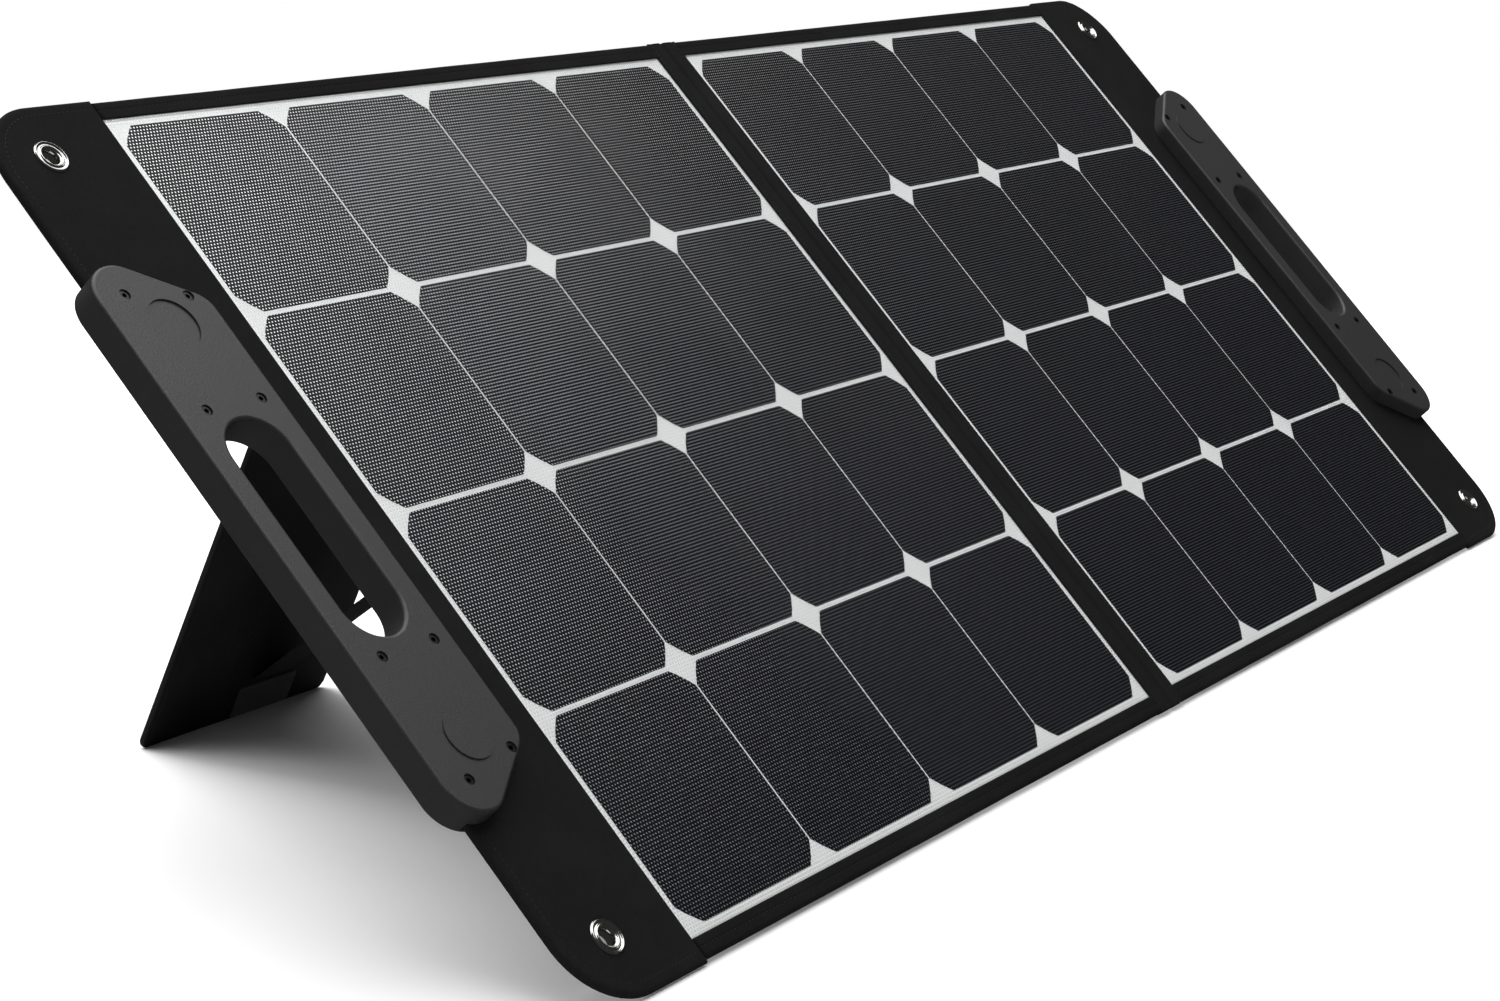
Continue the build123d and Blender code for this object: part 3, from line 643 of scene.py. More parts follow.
def threads(name: str, middles: np.ndarray, along: np.ndarray, outward: np.ndarray, length: float = 2.3 * MM,
            radius: float = 0.27 * MM) -> bpy.types.Object:
    """Short threads, each a six-sided bead whose ends thin and dip into the cloth.

    Args:
        name: the piece's name.
        middles: where each thread lies.
        along: direction of each thread, or one for all.
        outward: direction out of the cloth, for each or for all.
        length: a thread's length.
        radius: a thread's radius at its middle.

    Returns:
        One object with every thread.
    """
    along, outward = (np.broadcast_to(a, middles.shape) for a in (along, outward))
    across = np.cross(along, outward)
    station = np.array([-0.5, -0.28, 0.28, 0.5])[:, None] * length
    thick = np.array([0.4, 1.0, 1.0, 0.4])[:, None] * radius
    sink = np.array([-0.9, 0.0, 0.0, -0.9])[:, None] * radius
    turn = np.arange(6) * math.pi / 3
    rise = sink + thick * np.sin(turn)
    aside = thick * np.cos(turn)
    points = middles[:, None, None] + station[None, ..., None] * along[:, None, None] \
        + rise[None, ..., None] * outward[:, None, None] + aside[None, ..., None] * across[:, None, None]
    ring, place = np.meshgrid(np.arange(3), np.arange(6), indexing="ij")
    following = (place + 1) % 6
    sides = np.stack([ring * 6 + place, ring * 6 + following, ring * 6 + following + 6, ring * 6 + place + 6],
                     axis=-1).reshape(-1, 4)
    ends = np.array([[3, 2, 1, 0], [5, 4, 3, 0], [18, 19, 20, 21], [18, 21, 22, 23]])
    faces = np.concatenate([sides, ends])[None] + 24 * np.arange(len(middles))[:, None, None]
    round_uv = np.stack(np.broadcast_arrays(station, thick * turn), axis=-1).reshape(-1, 2)
    uv = np.tile(round_uv, (len(middles), 1))
    return put(name, points.reshape(-1, 3), faces.reshape(-1, 4), uv)


def beads(line: np.ndarray, pitch: float) -> tuple[np.ndarray, np.ndarray]:
    """Middles and directions of stitches at every pitch along a line of points."""
    gaps = np.linalg.norm(np.diff(line, axis=0), axis=1)
    length = np.concatenate([[0], np.cumsum(gaps)])
    at = np.arange(pitch / 2, length[-1], pitch)
    here, there = (np.stack([np.interp(at + more, length, line[:, i]) for i in range(3)], axis=-1)
                   for more in (-0.2 * pitch, 0.2 * pitch))
    along = there - here
    return (here + there) / 2, along / np.linalg.norm(along, axis=1)[:, None]


def stitch(name: str, lines: list[np.ndarray], outward: list[np.ndarray], pitch: float = 3.3 * MM
           ) -> bpy.types.Object:
    """Rows of stitches as one piece, each row on its own line with its own outward direction."""
    rows = [beads(line, pitch) for line in lines]
    return threads(name, np.concatenate([middles for middles, _ in rows]),
                   np.concatenate([along for _, along in rows]),
                   np.concatenate([np.broadcast_to(out, row[0].shape) for out, row in zip(outward, rows)]))


def dress(piece: bpy.types.Object, material: bpy.types.Material) -> None:
    """Gives every slot of a piece the same material."""
    if not piece.material_slots:
        piece.data.materials.append(material)
    for held in piece.material_slots:
        held.material = material


class Wardrobe:
    """Makes each finish's material once, when it is first asked for."""

    def __init__(self) -> None:
        """Starts empty."""
        self.made: dict[str, bpy.types.Material] = {}

    def wear(self, piece: bpy.types.Object, finish: str) -> None:
        """Dresses a piece in a named finish."""
        if finish not in self.made:
            self.made[finish] = FINISHES[finish].material()
        dress(piece, self.made[finish])

    def dress_frame(self) -> None:
        """Gives every CAD node the finish that the record names for it."""
        for part in frame["record"]["subparts"]:
            self.wear(NODES[part["node"]], part["material_slot"])


WARDROBE = Wardrobe()


def report(piece: bpy.types.Object, body: str, finish: str, *stands_for: str) -> bpy.types.Object:
    """Dresses a piece, hangs it on its body, hides the CAD parts it stands for and logs it."""
    WARDROBE.wear(piece, finish)
    if body:
        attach(piece, body)
    if stands_for:
        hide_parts(*stands_for)
    LOG.info("%s: %d faces on %s", piece.name, len(piece.data.polygons), body or "two bodies")
    return piece


# ---------------------------------------------------------------- leaf


@dataclass
class Leaf:
    """One leaf: its laminate, its cloth and what is fastened to it.

    Fields are metres. side is 1 for the right leaf and -1 for the left one.
    """

    side: int
    film_lift: float = 0.1 * MM
    film_step: float = 8 * MM
    flap_corner: float = 42 * MM
    flap_seam: float = 6.5 * MM
    lap: float = 1.2 * MM
    slot_length: float = 131 * MM
    slot_width: float = 41 * MM
    slot_margin: float = 3.5 * MM
    eyelet_hole: float = 7.6 * MM
    tape_thickness: float = 0.85 * MM
    tape_seam: float = 5.6 * MM
    stitch_lift: float = 0.04 * MM

    def __post_init__(self) -> None:
        """Names the leaf's side and the body it hangs on."""
        self.label = "right" if self.side > 0 else "left"
        self.body = f"{self.label}_leaf"

    def reach(self, node: str) -> np.ndarray:
        """Lowest and highest corner of one of this leaf's nodes, as on the right leaf."""
        low, high = LEAF.span(f"{self.label}_{node}")
        if self.side < 0:
            low[0], high[0] = -high[0], -low[0]
        return np.array([low, high])

    def place(self, x: np.ndarray, v: np.ndarray, n: np.ndarray) -> np.ndarray:
        """Row-frame points of leaf coordinates on this side."""
        return LEAF.place(self.side * np.asarray(x, float), v, n)

    def both_faces(self, x: np.ndarray, v: np.ndarray, middle: float, level: float
                   ) -> tuple[list[np.ndarray], list[np.ndarray]]:
        """A sewn line on each side of a cloth's middle, and the outward direction of each."""
        lines = [self.place(x, v, middle + level), self.place(x, v, middle - level)]
        return lines, [LEAF.normal, -LEAF.normal]

    def film(self) -> None:
        """Flat film over the cells, a grid of x by v, with its metres kept for the embossing."""
        low, high = self.reach("front_film")
        x = np.linspace(low[0], high[0], int((high[0] - low[0]) / self.film_step))
        v = np.linspace(low[1], high[1], int((high[1] - low[1]) / self.film_step))
        grid = np.meshgrid(x, v)
        made = sewn(f"{self.label}_film_face", grid, (high[2], low[2] + self.film_lift), self.place)
        report(made, self.body, "clear_film", f"{self.label}_front_film")

    def end_flap(self) -> None:
        """Padded end flap: two skins that meet round the outline, a sewn line in from it, and its holes.

        Half its thickness is a quarter ellipse of the distance in from the outline. The seam is a
        bell-shaped dip. The slot's hole is a stadium and each eyelet's hole a circle.
        """
        low, high = self.reach("end_flap")
        shape = Outline((low[0] - self.lap, low[1]), tuple(high[:2]), (0, self.flap_corner), step=2.6 * MM)
        u, w, depth = shape.grid()
        middle, half = halves(low[2], high[2])
        full = half - 0.12 * MM + 0.12 * MM * ripple(u, w, 45 * MM, 3 + self.side)
        dip = 0.22 * MM * groove(depth - self.flap_seam, 0.9 * MM)
        rise = rounded(depth, half) * (full - dip)
        ring = self.reach("eyelets")
        eyelet = (ring[0, 0] + ring[1, 0]) / 2, ring[1, 1] - (ring[1, 0] - ring[0, 0]) / 2
        handle = self.reach("handle_front")
        slot = (handle[0, 0] + handle[1, 0]) / 2
        x, v = ((a[:-1, :-1] + a[1:, 1:]) / 2 for a in (u, np.abs(w)))
        bore = np.hypot(x - eyelet[0], v - eyelet[1]) < self.eyelet_hole
        reach = (self.slot_length - self.slot_width) / 2
        grip = np.hypot(x - slot, np.clip(v - reach, 0, None)) < self.slot_width / 2 + self.slot_margin
        skins = (middle + rise, middle - rise)
        made = sewn(f"{self.label}_flap_pad", (u, w), skins, self.place, ~(bore | grip))
        report(made, self.body, "flap_cloth", f"{self.label}_end_flap")
        turn = np.linspace(math.pi / 2, 0, 14)
        radius = self.flap_corner - self.flap_seam
        x = np.concatenate([[low[0] + 2 * MM], high[0] - self.flap_corner + radius * np.cos(turn)])
        v = np.concatenate([[high[1] - self.flap_seam], high[1] - self.flap_corner + radius * np.sin(turn)])
        x, v = np.concatenate([x, x[::-1]]), np.concatenate([v, -v[::-1]])
        level = half - 0.34 * MM + self.stitch_lift
        made = stitch(f"{self.label}_flap_stitches", *self.both_faces(x, v, middle, level))
        report(made, self.body, "thread")

    def eyelets(self) -> None:
        """Rolled eyelets turned on a lathe: two raised rings on the flange, a barrel and a rolled lip.

        The flange's height is the higher of two bell-shaped ridges over a low base.
        """
        low, high = self.reach("eyelets")
        radius = (high[0] - low[0]) / 2
        face = self.reach("end_flap")[1, 2]
        bore, barrel = 0.5 * radius, 0.58 * radius
        r = np.linspace(radius, bore + 0.2 * MM, 40)
        ridge = np.maximum(groove(r - 0.91 * radius, 0.55 * MM), groove(r - 0.64 * radius, 0.65 * MM))
        rims = rounded(np.minimum(radius - r, r - bore), 0.5 * MM)
        top = face + (high[2] - face) * (0.12 + 0.88 * ridge) * rims
        lip = low[2] + 0.8 * MM
        turned = np.array([[bore, face], [bore, low[2] + 0.3 * MM], [bore + 0.3 * MM, low[2]],
                           [1.42 * bore, low[2]], [1.48 * bore, low[2] + 0.4 * MM], [1.42 * bore, lip],
                           [barrel, lip], [barrel, face], [0.99 * radius, face]])
        profile = np.concatenate([np.stack([r, top], axis=-1), turned])
        angle = np.linspace(0, 2 * math.pi, 48, endpoint=False)[:, None]
        rings = [self.place((low[0] + high[0]) / 2 + profile[:, 0] * np.cos(angle),
                            side * (high[1] - radius) + profile[:, 0] * np.sin(angle), profile[:, 1])
                 for side in (-1, 1)]
        index = np.arange(48 * len(profile)).reshape(48, -1)
        ahead = np.roll(index, -1, axis=0)
        faces = np.stack([index, ahead, np.roll(ahead, -1, axis=1), np.roll(index, -1, axis=1)], axis=-1)
        made = put(f"{self.label}_eyelet_rings", np.concatenate([ring.reshape(-1, 3) for ring in rings]),
                   np.concatenate([faces.reshape(-1, 4) + i * index.size for i in (0, 1)]))
        report(made, self.body, "nickel", f"{self.label}_eyelets")

    def binding(self, edge: str) -> None:
        """Tape folded round the top or bottom edge.

        The profile is a leg, a half circle and a leg, and it is carried along x. Its outer skin dips
        at the stitches and thins at its raw edges.
        """
        low, high = self.reach(f"{edge}_binding")
        up = 1 if edge == "top" else -1
        start = low[1] if up > 0 else high[1]
        middle, half = halves(low[2], high[2])
        leg = (high[1] - low[1]) - half
        total = 2 * leg + math.pi * half
        inner_end = self.reach("back_sheet")[0, 0] + 0.2 * MM
        s, x = np.meshgrid(np.linspace(0, total, 58), np.linspace(inner_end, high[0], 160))
        bend = np.clip((s - leg) / half, 0, math.pi)
        edge_away = np.minimum(s, total - s)
        straight = np.minimum(edge_away, leg)
        near_seam = groove(edge_away - self.tape_seam, 1.5 * MM)
        wave = 0.05 * MM * np.sin(2 * math.pi * x / (3.3 * MM * 2)) * near_seam
        outer = half - 0.34 * MM * groove(edge_away - self.tape_seam, 0.6 * MM) \
            - 0.45 * MM * (1 - rounded(edge_away, 0.9 * MM)) - wave \
            - 0.08 * MM * (1 + ripple(x, s, 60 * MM, 11 + up + 3 * self.side)) - 0.35 * MM * (x < low[0])
        skins = [self.place(x, start + up * (straight + r * np.sin(bend)), middle + r * np.cos(bend))
                 for r in (outer, half - self.tape_thickness)]
        made = two_skins(f"{self.label}_{edge}_tape", *skins, np.stack([x, s], axis=-1))
        report(made, self.body, "binding_tape", f"{self.label}_{edge}_binding")
        line = np.array([low[0] + 2 * MM, high[0] - 2 * MM])
        level = half - 0.30 * MM + self.stitch_lift
        v = start + up * self.tape_seam
        made = stitch(f"{self.label}_{edge}_tape_stitches", *self.both_faces(line, v, middle, level))
        report(made, self.body, "thread")

    def back_cover(self) -> None:
        """Cloth stretched over the leaf's back, a little uneven, sewn down near its edges."""
        low, high = self.reach("back_cover")
        u, w, depth = Outline(tuple(low[:2]), tuple(high[:2]), step=9 * MM).grid()
        thick = (high[2] - low[2]) * rounded(depth, 1.2 * MM)
        uneven = 0.10 * MM * (1 + ripple(u, w, 110 * MM, 21 + self.side))
        dip = 0.3 * MM * groove(depth - self.tape_seam, 1.2 * MM)
        outer = high[2] - np.maximum(thick - uneven - dip, 0.1 * MM)
        made = sewn(f"{self.label}_back_cloth", (u, w), (outer, np.full_like(u, high[2])), self.place)
        report(made, self.body, "back_cloth", f"{self.label}_back_cover")
        x, v = inset_line(low, high, self.tape_seam)
        line = self.place(x, v, low[2] + 0.35 * MM)
        made = stitch(f"{self.label}_back_stitches", [line], [-LEAF.normal], 4 * MM)
        report(made, self.body, "thread")

    def patch(self, node: str, name: str, finish: str, corner: float, inset: float) -> None:
        """Small flat piece sewn to the back, with a sewn line inside its outline."""
        low, high = self.reach(node)
        u, w, depth = Outline.of(low, high, corner, 1.2 * MM, 1 * MM).grid()
        thick = (high[2] - low[2]) * rounded(depth, 0.8 * MM) * (1 - 0.35 * groove(depth - inset, 0.5 * MM))
        made = sewn(name, (u, w), (high[2] - thick, np.full_like(u, high[2])), self.place)
        report(made, self.body, finish, f"{self.label}_{node}")
        x, v = inset_line(low, high, inset)
        made = stitch(f"{name}_stitches", [self.place(x, v, low[2] + 0.25 * MM)], [-LEAF.normal], 2.8 * MM)
        report(made, self.body, "thread")

    def loops(self) -> None:
        """Soft loops of the loop patch: short threads that stand at seeded angles."""
        low, high = self.reach("loop_patch")
        draw = np.random.default_rng(31 + self.side)
        spots = draw.uniform(low[:2] + 2.2 * MM, high[:2] - 2.2 * MM, (900, 2))
        angle = draw.uniform(0, math.pi, 900)[:, None]
        along = np.cos(angle) * self.side * np.array([[1.0, 0, 0]]) + np.sin(angle) * LEAF.up
        made = threads(f"{self.label}_loop_fuzz", self.place(spots[:, 0], spots[:, 1], low[2] + 0.05 * MM),
                       along, -LEAF.normal, 1.9 * MM, 0.2 * MM)
        report(made, self.body, "hook_and_loop")

    def build(self) -> None:
        """Makes every piece of the leaf in turn."""
        self.film()
        self.end_flap()
        self.eyelets()
        self.binding("top")
        self.binding("bottom")
        self.back_cover()
        self.patch("loop_patch", f"{self.label}_loop_ground", "hook_and_loop", 2 * MM, 1.6 * MM)
        self.loops()
        self.patch("strap_anchor", f"{self.label}_anchor_cloth", "back_cloth", 2 * MM, 3 * MM)


# ---------------------------------------------------------------- fold between the leaves


@dataclass
class Fold:
    """Cloth that joins the two leaves."""

    reach: float = 14 * MM
    crease: float = 1.15 * MM
    seam: float = 12.4 * MM
    lap: float = 0.6 * MM

    def join(self, piece: bpy.types.Object) -> None:
        """Bakes a piece's transform into its mesh. The points where it meets each leaf are worked out but not
        used.
        """
        ends = [tuple(LEAF.place(side * self.reach, 0, 0)) for side in (-1, 1)]
        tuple(ends[0])
        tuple(ends[1])
        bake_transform(piece)

    def spine(self, node: str, name: str, out: int) -> None:
        """One spine strip: two low lobes with a crease between them and a stitched edge on each.

        Args:
            node: the CAD node that it stands for.
            name: the piece's name.
            out: 1 for the sunny face, -1 for the back.
        """
        low, high = LEAF.span(node)
        lap = np.array([self.lap, 0, 0])
        u, w, depth = Outline.of(low - lap, high + lap, 0, 1.1 * MM, 1.2 * MM).grid()
        thick = high[2] - low[2]
        base, top = (low[2], high[2]) if out > 0 else (high[2], low[2])
        lobes = 0.14 * MM * np.cos(2 * math.pi * u / self.seam)
        drop = self.crease * groove(u, 1.5 * MM) + 0.3 * MM * groove(np.abs(u) - self.seam, 0.6 * MM) \
            + 0.12 * MM * (1 + ripple(u, w, 50 * MM, 41 + out)) + np.maximum(lobes, 0)
        skin = thick * rounded(depth, 0.9 * MM)
        outer = base + out * (skin - drop)
        inner = np.where(out * (outer - base) > 0.3 * MM, base, outer - out * 0.35 * MM)
        made = sewn(name, (u, w), (outer, inner), LEAF.place)
        report(made, "", "spine_cloth", node)
        self.join(made)
        v = np.array([low[1] + 3 * MM, high[1] - 3 * MM])
        level = top - out * 0.34 * MM
        made = stitch(f"{name}_stitches", [LEAF.place(side * self.seam, v, level) for side in (-1, 1)],
                      [out * LEAF.normal] * 2)
        report(made, "", "thread")
        self.join(made)

    def ribbon(self) -> None:
        """Flat copper ribbon that carries current across the fold, with lengthwise ribs."""
        low, high = LEAF.span("link_ribbon")
        u, w, depth = Outline.of(low, high, 0, 0.9 * MM, 0.8 * MM).grid()
        middle, half = halves(low[2], high[2])
        rise = half * rounded(depth, 0.5 * MM) * (0.85 + 0.15 * np.cos(2 * math.pi * w / (2.2 * MM)))
        made = sewn("link_ribbon_flat", (u, w), (middle + rise, middle - rise), LEAF.place)
        report(made, "", "tab", "link_ribbon")
        self.join(made)

    def build(self) -> None:
        """Makes both spines and the ribbon."""
        self.spine("front_spine", "front_spine_cloth", 1)
        self.spine("back_spine", "back_spine_cloth", -1)
        self.ribbon()


# ---------------------------------------------------------------- stands


@dataclass
class Stand:
    """One folding stand, its strap and the tape that hinges it.

    Stand coordinates are w across from its middle, d down from its hinge and t out towards the leaf.
    """

    side: int
    corner: float = 6 * MM
    band: float = 8 * MM
    seam: float = 5.6 * MM
    bend_start: float = 12 * MM
    grip_start: float = 8 * MM

    def __post_init__(self) -> None:
        """Reads the hinge's place and angle."""
        self.label = "right" if self.side > 0 else "left"
        self.body = f"{self.label}_stand"
        hinge = JOINTS[f"{self.label}_stand_hinge"]
        self.pivot = np.array(hinge["pos_m"], float)
        opening = math.radians(hinge["range_deg"][1])
        self.down = -math.cos(opening) * LEAF.up - math.sin(opening) * LEAF.normal
        self.out = -math.sin(opening) * LEAF.up + math.cos(opening) * LEAF.normal

    def place(self, w: np.ndarray, d: np.ndarray, t: np.ndarray) -> np.ndarray:
        """Row-frame points of stand coordinates, which may be arrays of any matching shape."""
        w, d, t = np.broadcast_arrays(*(np.asarray(a, float) for a in (w, d, t)))
        return self.pivot + w[..., None] * np.array([1.0, 0, 0]) + d[..., None] * self.down \
            + t[..., None] * self.out

    def span(self, node: str) -> np.ndarray:
        """Lowest and highest corner of one of this side's nodes, in stand coordinates."""
        away = vertices(f"{self.label}_{node}") - self.pivot
        return corners_of(np.stack([away[:, 0], away @ self.down, away @ self.out], axis=-1))

    def cover(self) -> None:
        """Cloth sleeve round the board: bound edges that stand proud, a sewn line and a cross seam."""
        low, high = self.span("stand_cover")
        u, w, depth = Outline.of(low, high, self.corner, 3 * MM, 2 * MM).grid()
        half = (high[2] - low[2]) / 2
        inside = np.clip((depth - self.band) / (1.2 * MM), 0, 1)
        foot = groove(high[1] - 30 * MM - w, 0.8 * MM) * inside
        lumps = 0.08 * MM * inside * ripple(u, w, 60 * MM, 51 + self.side)
        seams = 0.25 * MM * groove(depth - self.seam, 0.7 * MM)
        rise = rounded(depth, 0.9 * MM) * (half - 0.30 * MM * inside - seams - 0.2 * MM * foot + lumps)
        made = sewn(f"{self.label}_stand_sleeve", (u, w), (rise, -rise), self.place)
        report(made, self.body, "stand_cloth", f"{self.label}_stand_cover")
        level = half - 0.2 * MM
        lines = [self.place(*inset_line(low, high, self.seam), t) for t in (level, -level)]
        made = stitch(f"{self.label}_stand_stitches", lines, [self.out, -self.out])
        report(made, self.body, "thread")

    def hooks(self) -> None:
        """Hook patch by the foot: a ground cloth with rows of small hooks that lean over."""
        low, high = self.span("stand_hook_patch")
        u, w, depth = Outline.of(low, high, 2 * MM, 1.2 * MM, 1 * MM).grid()
        ground = low[2] + 0.5 * (high[2] - low[2]) * rounded(depth, 0.8 * MM)
        made = sewn(f"{self.label}_hook_ground", (u, w), (ground, np.full_like(u, low[2])), self.place)
        report(made, self.body, "hook_and_loop", f"{self.label}_stand_hook_patch")
        rows = np.meshgrid(np.arange(low[0] + 2 * MM, high[0] - 1.5 * MM, 1.7 * MM),
                           np.arange(low[1] + 2 * MM, high[1] - 1.5 * MM, 1.5 * MM))
        spots = self.place(rows[0].ravel(), rows[1].ravel(), high[2] - 0.58 * MM)
        lean = (self.out * 0.8 + self.down * 0.6)
        made = threads(f"{self.label}_hooks", spots, lean, np.cross([1.0, 0, 0], lean), 1.0 * MM, 0.17 * MM)
        report(made, self.body, "hook_and_loop")

    def strap(self) -> None:
        """Webbing strap that stops the stand at its open angle, with a slight sag.

        Its middle line runs straight between its sewn ends, plus a half sine of sag.
        """
        node = f"{self.label}_limiter_strap"
        points = LEAF.coordinates(vertices(node))
        upper = points[:, 2] > points[:, 2].mean()
        ends = [points[upper].mean(axis=0), points[~upper].mean(axis=0)]
        run = ends[1] - ends[0]
        length = float(np.linalg.norm(run[1:]))
        thickness = 1.3 * MM
        aside = np.array([-run[2], run[1]]) / length
        half_width = (points[:, 0].max() - points[:, 0].min()) / 2

        def carried(u: np.ndarray, s: np.ndarray, height: np.ndarray) -> np.ndarray:
            """Points along the strap's middle line."""
            share = s / length
            lift = height + 3.5 * MM * np.sin(math.pi * share)
            return LEAF.place(ends[0][0] + u, ends[0][1] + share * run[1] + lift * aside[0],
                              ends[0][2] + share * run[2] + lift * aside[1])

        u, w, depth = Outline((-half_width, 0), (half_width, length), (0, 0), 3.2 * MM, 1 * MM).grid()
        rise = thickness / 2 * rounded(half_width - np.abs(u), 0.7 * MM)
        made = sewn(f"{self.label}_strap_webbing", (u, w), (rise, -rise), carried)
        report(made, f"{self.label}_leaf", "webbing", node)
        anchor = tuple(LEAF.place(self.side * abs(ends[0][0]), ends[0][1], LEAF.span(node)[1][2]))
        tuple(LEAF.normal)
        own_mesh(made)

    def hinge_tape(self) -> None:
        """Wide tape from the leaf's back, round the hinge and down the stand's outer face.

        Its line is straight on the leaf, a parabola round the hinge, and straight on the stand.
        """
        node = f"{self.label}_stand_hinge_tape"
        low, high = LEAF.span(node)
        stand_low = self.span("stand_hinge_tape")
        thickness = 0.8 * MM
        flat_n = high[2] - thickness / 2
        outer_t = self.span("stand_cover")[0][2] - thickness / 2
        hinge = LEAF.coordinates(self.pivot)
        down, out = (np.array([a @ LEAF.up, a @ LEAF.normal]) for a in (self.down, self.out))
        grip = hinge[1:] + self.grip_start * down + outer_t * out
        corner = grip + (flat_n - grip[1]) / down[1] * down
        start = np.array([corner[0] + self.bend_start, flat_n])
        share = np.linspace(0, 1, 18)[1:-1, None]
        curve = (1 - share) ** 2 * start + 2 * share * (1 - share) * corner + share ** 2 * grip
        far = hinge[1:] + stand_low[1][1] * down + outer_t * out
        fixed = np.linspace([high[1], flat_n], start, 9)
        held = np.linspace(grip, far, 9)
        line = np.concatenate([fixed, curve, held])
        walk = np.concatenate([[0], np.cumsum(np.linalg.norm(np.diff(line, axis=0), axis=1))])
        tangent = np.gradient(line, walk, axis=0)
        normal = np.stack([tangent[:, 1], -tangent[:, 0]], axis=-1)
        normal /= np.linalg.norm(normal, axis=1)[:, None]
        x = Outline((low[0], 0), (high[0], 1), step=5 * MM, soft=1.2 * MM).lines(low[0], high[0])
        u, w = np.meshgrid(x, walk)
        edge = np.minimum(np.minimum(u - low[0], high[0] - u), np.minimum(w, walk[-1] - w))
        rise = thickness / 2 * rounded(edge, 0.6 * MM) * (1 - 0.3 * groove(edge - 4 * MM, 0.6 * MM))
        skins = [LEAF.place(u, line[:, None, 0] + sign * rise * normal[:, None, 0],
                            line[:, None, 1] + sign * rise * normal[:, None, 1]) for sign in (-1, 1)]
        made = two_skins(f"{self.label}_hinge_webbing", *skins, np.stack([u, w], axis=-1))
        report(made, "", "webbing", node)
        middle = (low[0] + high[0]) / 2
        ends = [tuple(LEAF.place(middle, *spot)) for spot in (start, grip)]
        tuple(ends[0])
        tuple(ends[1])
        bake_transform(made)

    def build(self) -> None:
        """Makes every piece of the stand in turn."""
        self.cover()
        self.hooks()
        self.strap()
        self.hinge_tape()


# ---------------------------------------------------------------- lead pocket


@dataclass
class Pocket:
    """Zipped pocket on the right leaf's back, with its zip."""

    cloth: float = 0.8 * MM
    flange: float = 4 * MM
    wall: float = 9 * MM
    corner: float = 16 * MM
    tooth_pitch: float = 1.45 * MM

    def shell(self) -> None:
        """Pocket's cloth: a flat sewn flange, a wall that rises steeply and puckers, and a soft face.

        The rise over the wall is the square root of 1 - (1 - share) cubed, which is steep at first.
        """
        low, high = LEAF.span("lead_pocket")
        u, w, depth = Outline.of(low, high, self.corner, 3 * MM, 12 * MM).grid()
        full = high[2] - low[2]
        share = np.clip((depth - self.flange) / self.wall, 0, 1)
        rise = np.sqrt(np.clip(1 - (1 - share) ** 3, 0, 1))
        middle = (low + high) / 2
        bulge = 1.8 * MM * groove(u - middle[0], 50 * MM) * groove(w - middle[1] + 45 * MM, 60 * MM)
        pucker = 0.8 * MM * ripple(u, w, 14 * MM, 61) * np.sin(math.pi * share)
        dent = 0.5 * MM * (ripple(u, w, 60 * MM, 63) - 1) * share * (1 - groove(w - 124 * MM, 16 * MM))
        height = self.cloth + (full - self.cloth) * rise + bulge * share + pucker + dent
        face = high[2] - height
        made = sewn("lead_pocket_cloth", (u, w), (face, face + self.cloth), LEAF.place)
        report(made, "right_leaf", "back_cloth", "lead_pocket")
        x, v = inset_line(low, high, self.flange / 2)
        middles, along = beads(LEAF.place(x, v, high[2] - self.cloth - 0.02 * MM), 3.3 * MM)
        spot = LEAF.coordinates(middles)
        inside = [np.abs(spot[:, i] - middle[i]) < (high[i] - low[i]) / 2 - self.corner for i in (0, 1)]
        keep = inside[0] | inside[1]
        made = threads("pocket_stitches", middles[keep], along[keep], -LEAF.normal)
        report(made, "right_leaf", "thread")

    def zip(self) -> None:
        """Zip tapes with a coil of teeth along their middle, and stitches near both edges."""
        low, high = LEAF.span("zip_tapes")
        u, w, depth = Outline.of(low, high, 0, 1.5 * MM, 1 * MM).grid()
        middle = (low[1] + high[1]) / 2
        dip = 0.25 * MM * groove(np.abs(w - middle) - 3.4 * MM, 0.5 * MM)
        thick = 0.8 * MM * rounded(depth, 0.7 * MM) - dip
        made = sewn("zip_tape_pair", (u, w), (high[2] - thick, np.full_like(u, high[2])), LEAF.place)
        report(made, "right_leaf", "zip_tape", "zip_tapes")
        x = np.arange(low[0] + 3 * MM, high[0] - 3 * MM, self.tooth_pitch)
        rows = [LEAF.place(x + shift * self.tooth_pitch, middle + side * 0.9 * MM, high[2] - 1.15 * MM)
                for side, shift in ((-1, 0), (1, 0.5))]
        made = threads("zip_coil", np.concatenate(rows), LEAF.up, -LEAF.normal, 2.9 * MM, 0.52 * MM)
        report(made, "right_leaf", "zip_tape")
        line = np.array([low[0] + 2 * MM, high[0] - 2 * MM])
        made = stitch("zip_stitches", [LEAF.place(line, middle + side * 8.5 * MM, high[2] - 0.78 * MM)
                                       for side in (-1, 1)], [-LEAF.normal] * 2)
        report(made, "right_leaf", "thread")

    def tag(self) -> None:
        """Cloth tag on the zip's slider, with a sewn line inside its outline."""
        low, high = LEAF.span("zip_puller")
        u, w, depth = Outline.of(low, high, 2 * MM, 0.8 * MM, 0.7 * MM).grid()
        middle, half = halves(low[2], high[2])
        rise = half * rounded(depth, 0.5 * MM) * (1 - 0.3 * groove(depth - 1.2 * MM, 0.4 * MM))
        made = sewn("zip_tag", (u, w), (middle + rise, middle - rise), LEAF.place)
        report(made, "zip_slider", "webbing", "zip_puller")

    def build(self) -> None:
        """Makes the pocket and its zip."""
        self.shell()
        self.zip()
        self.tag()


# ---------------------------------------------------------------- studio


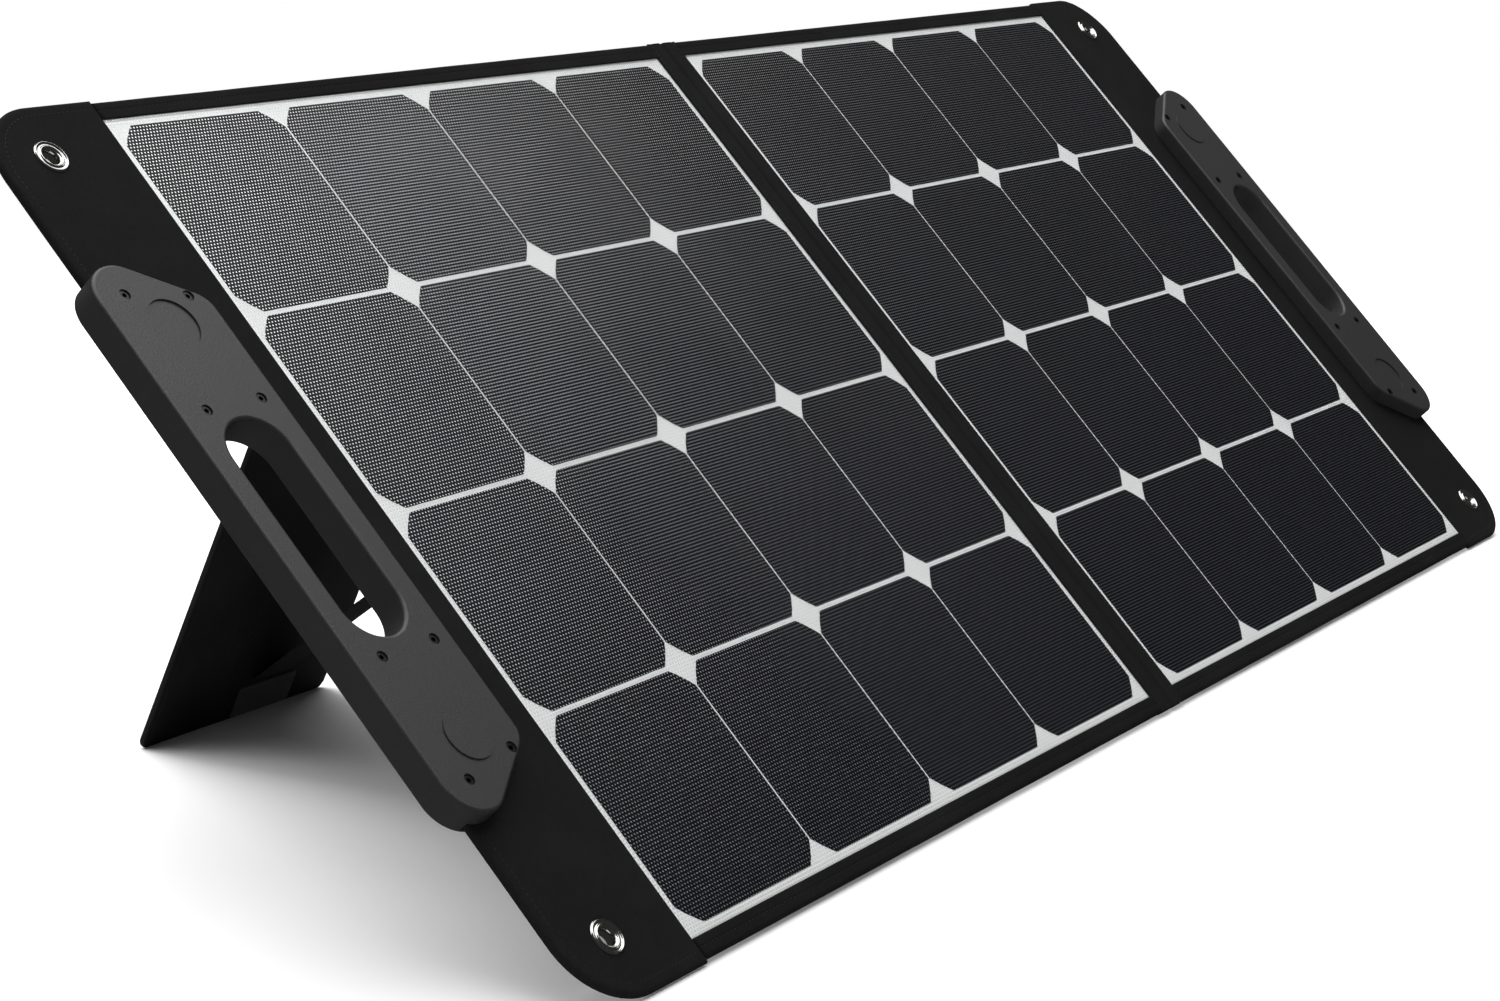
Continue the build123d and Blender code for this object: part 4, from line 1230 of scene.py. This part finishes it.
@dataclass(frozen=True)
class Studio:
    """Floor, lights and camera, in metres and degrees."""

    floor_size: float = 5.2
    soft_size: float = 5.8
    soft_height: float = 3.8
    soft_middle: tuple[float, float] = (0.66, 0.8)
    soft_power: float = 300.0
    rear_size: float = 2.6
    rear_spot: tuple[float, float, float] = (0.6, 3.4, 2.0)
    rear_aim: tuple[float, float, float] = (0, 0.1, 0.15)
    rear_power: float = 130.0
    diffuse_fill: float = 0.25
    backdrop: float = 1.0
    fill: float = 0.045
    lens: float = 76.96
    sensor: float = 36.0
    eye: tuple[float, float, float] = (-1.7522, -1.0388, 0.5340)
    azimuth: float = -57.862
    pitch: float = 11.834
    roll: float = 0.245

    def floor(self) -> None:
        """Plain pale floor, level with the lowest cloth."""
        half = self.floor_size / 2
        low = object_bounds()[0][2]
        turns = ((-1, -1), (1, -1), (1, 1), (-1, 1))
        corners = np.array([[x * half, y * half, low] for x, y in turns])
        made = put("studio_floor", corners, np.array([[0, 1, 2, 3]]), smooth=False)
        made.visible_glossy = False
        dress(made, Paper().material())
        made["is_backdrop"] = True

    def lamp(self, name: str, size: float, power: float, spot: tuple[float, float, float],
             aim: tuple[float, float, float], mirrored: bool = True) -> None:
        """One square soft light.

        Args:
            name: the light's name.
            size: its side.
            power: in watts.
            spot: where it hangs.
            aim: what it points at.
            mirrored: whether glossy surfaces show it.
        """
        lamp = bpy.data.lights.new(name, "AREA")
        lamp.shape = "SQUARE"
        lamp.size = size
        lamp.energy = power
        held = bpy.data.objects.new(name, lamp)
        held.location = spot
        held.visible_glossy = mirrored
        held.rotation_euler = (Vector(aim) - Vector(spot)).to_track_quat("-Z", "Y").to_euler()
        bpy.context.scene.collection.objects.link(held)

    def light(self) -> None:
        """One wide soft light overhead, a weak one behind, and a little light from all round."""
        over = (*self.soft_middle, self.soft_height)
        self.lamp("overhead_soft", self.soft_size, self.soft_power, over, (*self.soft_middle, 0))
        self.lamp("rear_soft", self.rear_size, self.rear_power, self.rear_spot, self.rear_aim, mirrored=False)
        world = bpy.data.worlds.new("studio_room")
        bpy.context.scene.world = world
        world.use_nodes = True
        nodes, links = world.node_tree.nodes, world.node_tree.links
        nodes["Background"].inputs["Color"].default_value = (1, 1, 1, 1)
        seen = nodes.new("ShaderNodeLightPath")
        fill = nodes.new("ShaderNodeMapRange")
        fill.inputs["To Min"].default_value = self.diffuse_fill
        fill.inputs["To Max"].default_value = self.fill
        level = nodes.new("ShaderNodeMapRange")
        level.inputs["To Max"].default_value = self.backdrop
        links.new(seen.outputs["Is Glossy Ray"], fill.inputs["Value"])
        links.new(fill.outputs[0], level.inputs["To Min"])
        links.new(seen.outputs["Is Camera Ray"], level.inputs["Value"])
        links.new(level.outputs[0], nodes["Background"].inputs["Strength"])
        bpy.context.scene.view_settings.view_transform = "Standard"

    def camera(self) -> None:
        """Camera low in front of the left leaf, looking across the panel."""
        lens = bpy.data.cameras.new("studio_camera")
        lens.lens = self.lens
        lens.sensor_width = self.sensor
        held = bpy.data.objects.new("studio_camera", lens)
        turn = Matrix.Rotation(math.radians(self.azimuth), 4, "Z") \
            @ Matrix.Rotation(math.radians(90 - self.pitch), 4, "X") \
            @ Matrix.Rotation(math.radians(-self.roll), 4, "Z")
        held.matrix_world = Matrix.Translation(Vector(self.eye)) @ turn
        bpy.context.scene.collection.objects.link(held)
        bpy.context.scene.camera = held

    def build(self) -> None:
        """Sets the whole studio."""
        self.floor()
        self.light()
        self.camera()


def main() -> None:
    """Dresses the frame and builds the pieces."""
    logging.basicConfig(level=logging.INFO, format="%(name)s %(message)s")
    WARDROBE.dress_frame()
    for side in (-1, 1):
        Leaf(side).build()
        Stand(side).build()
    Fold().build()
    Pocket().build()
    Studio().build()


if __name__ == "__main__":
    main()
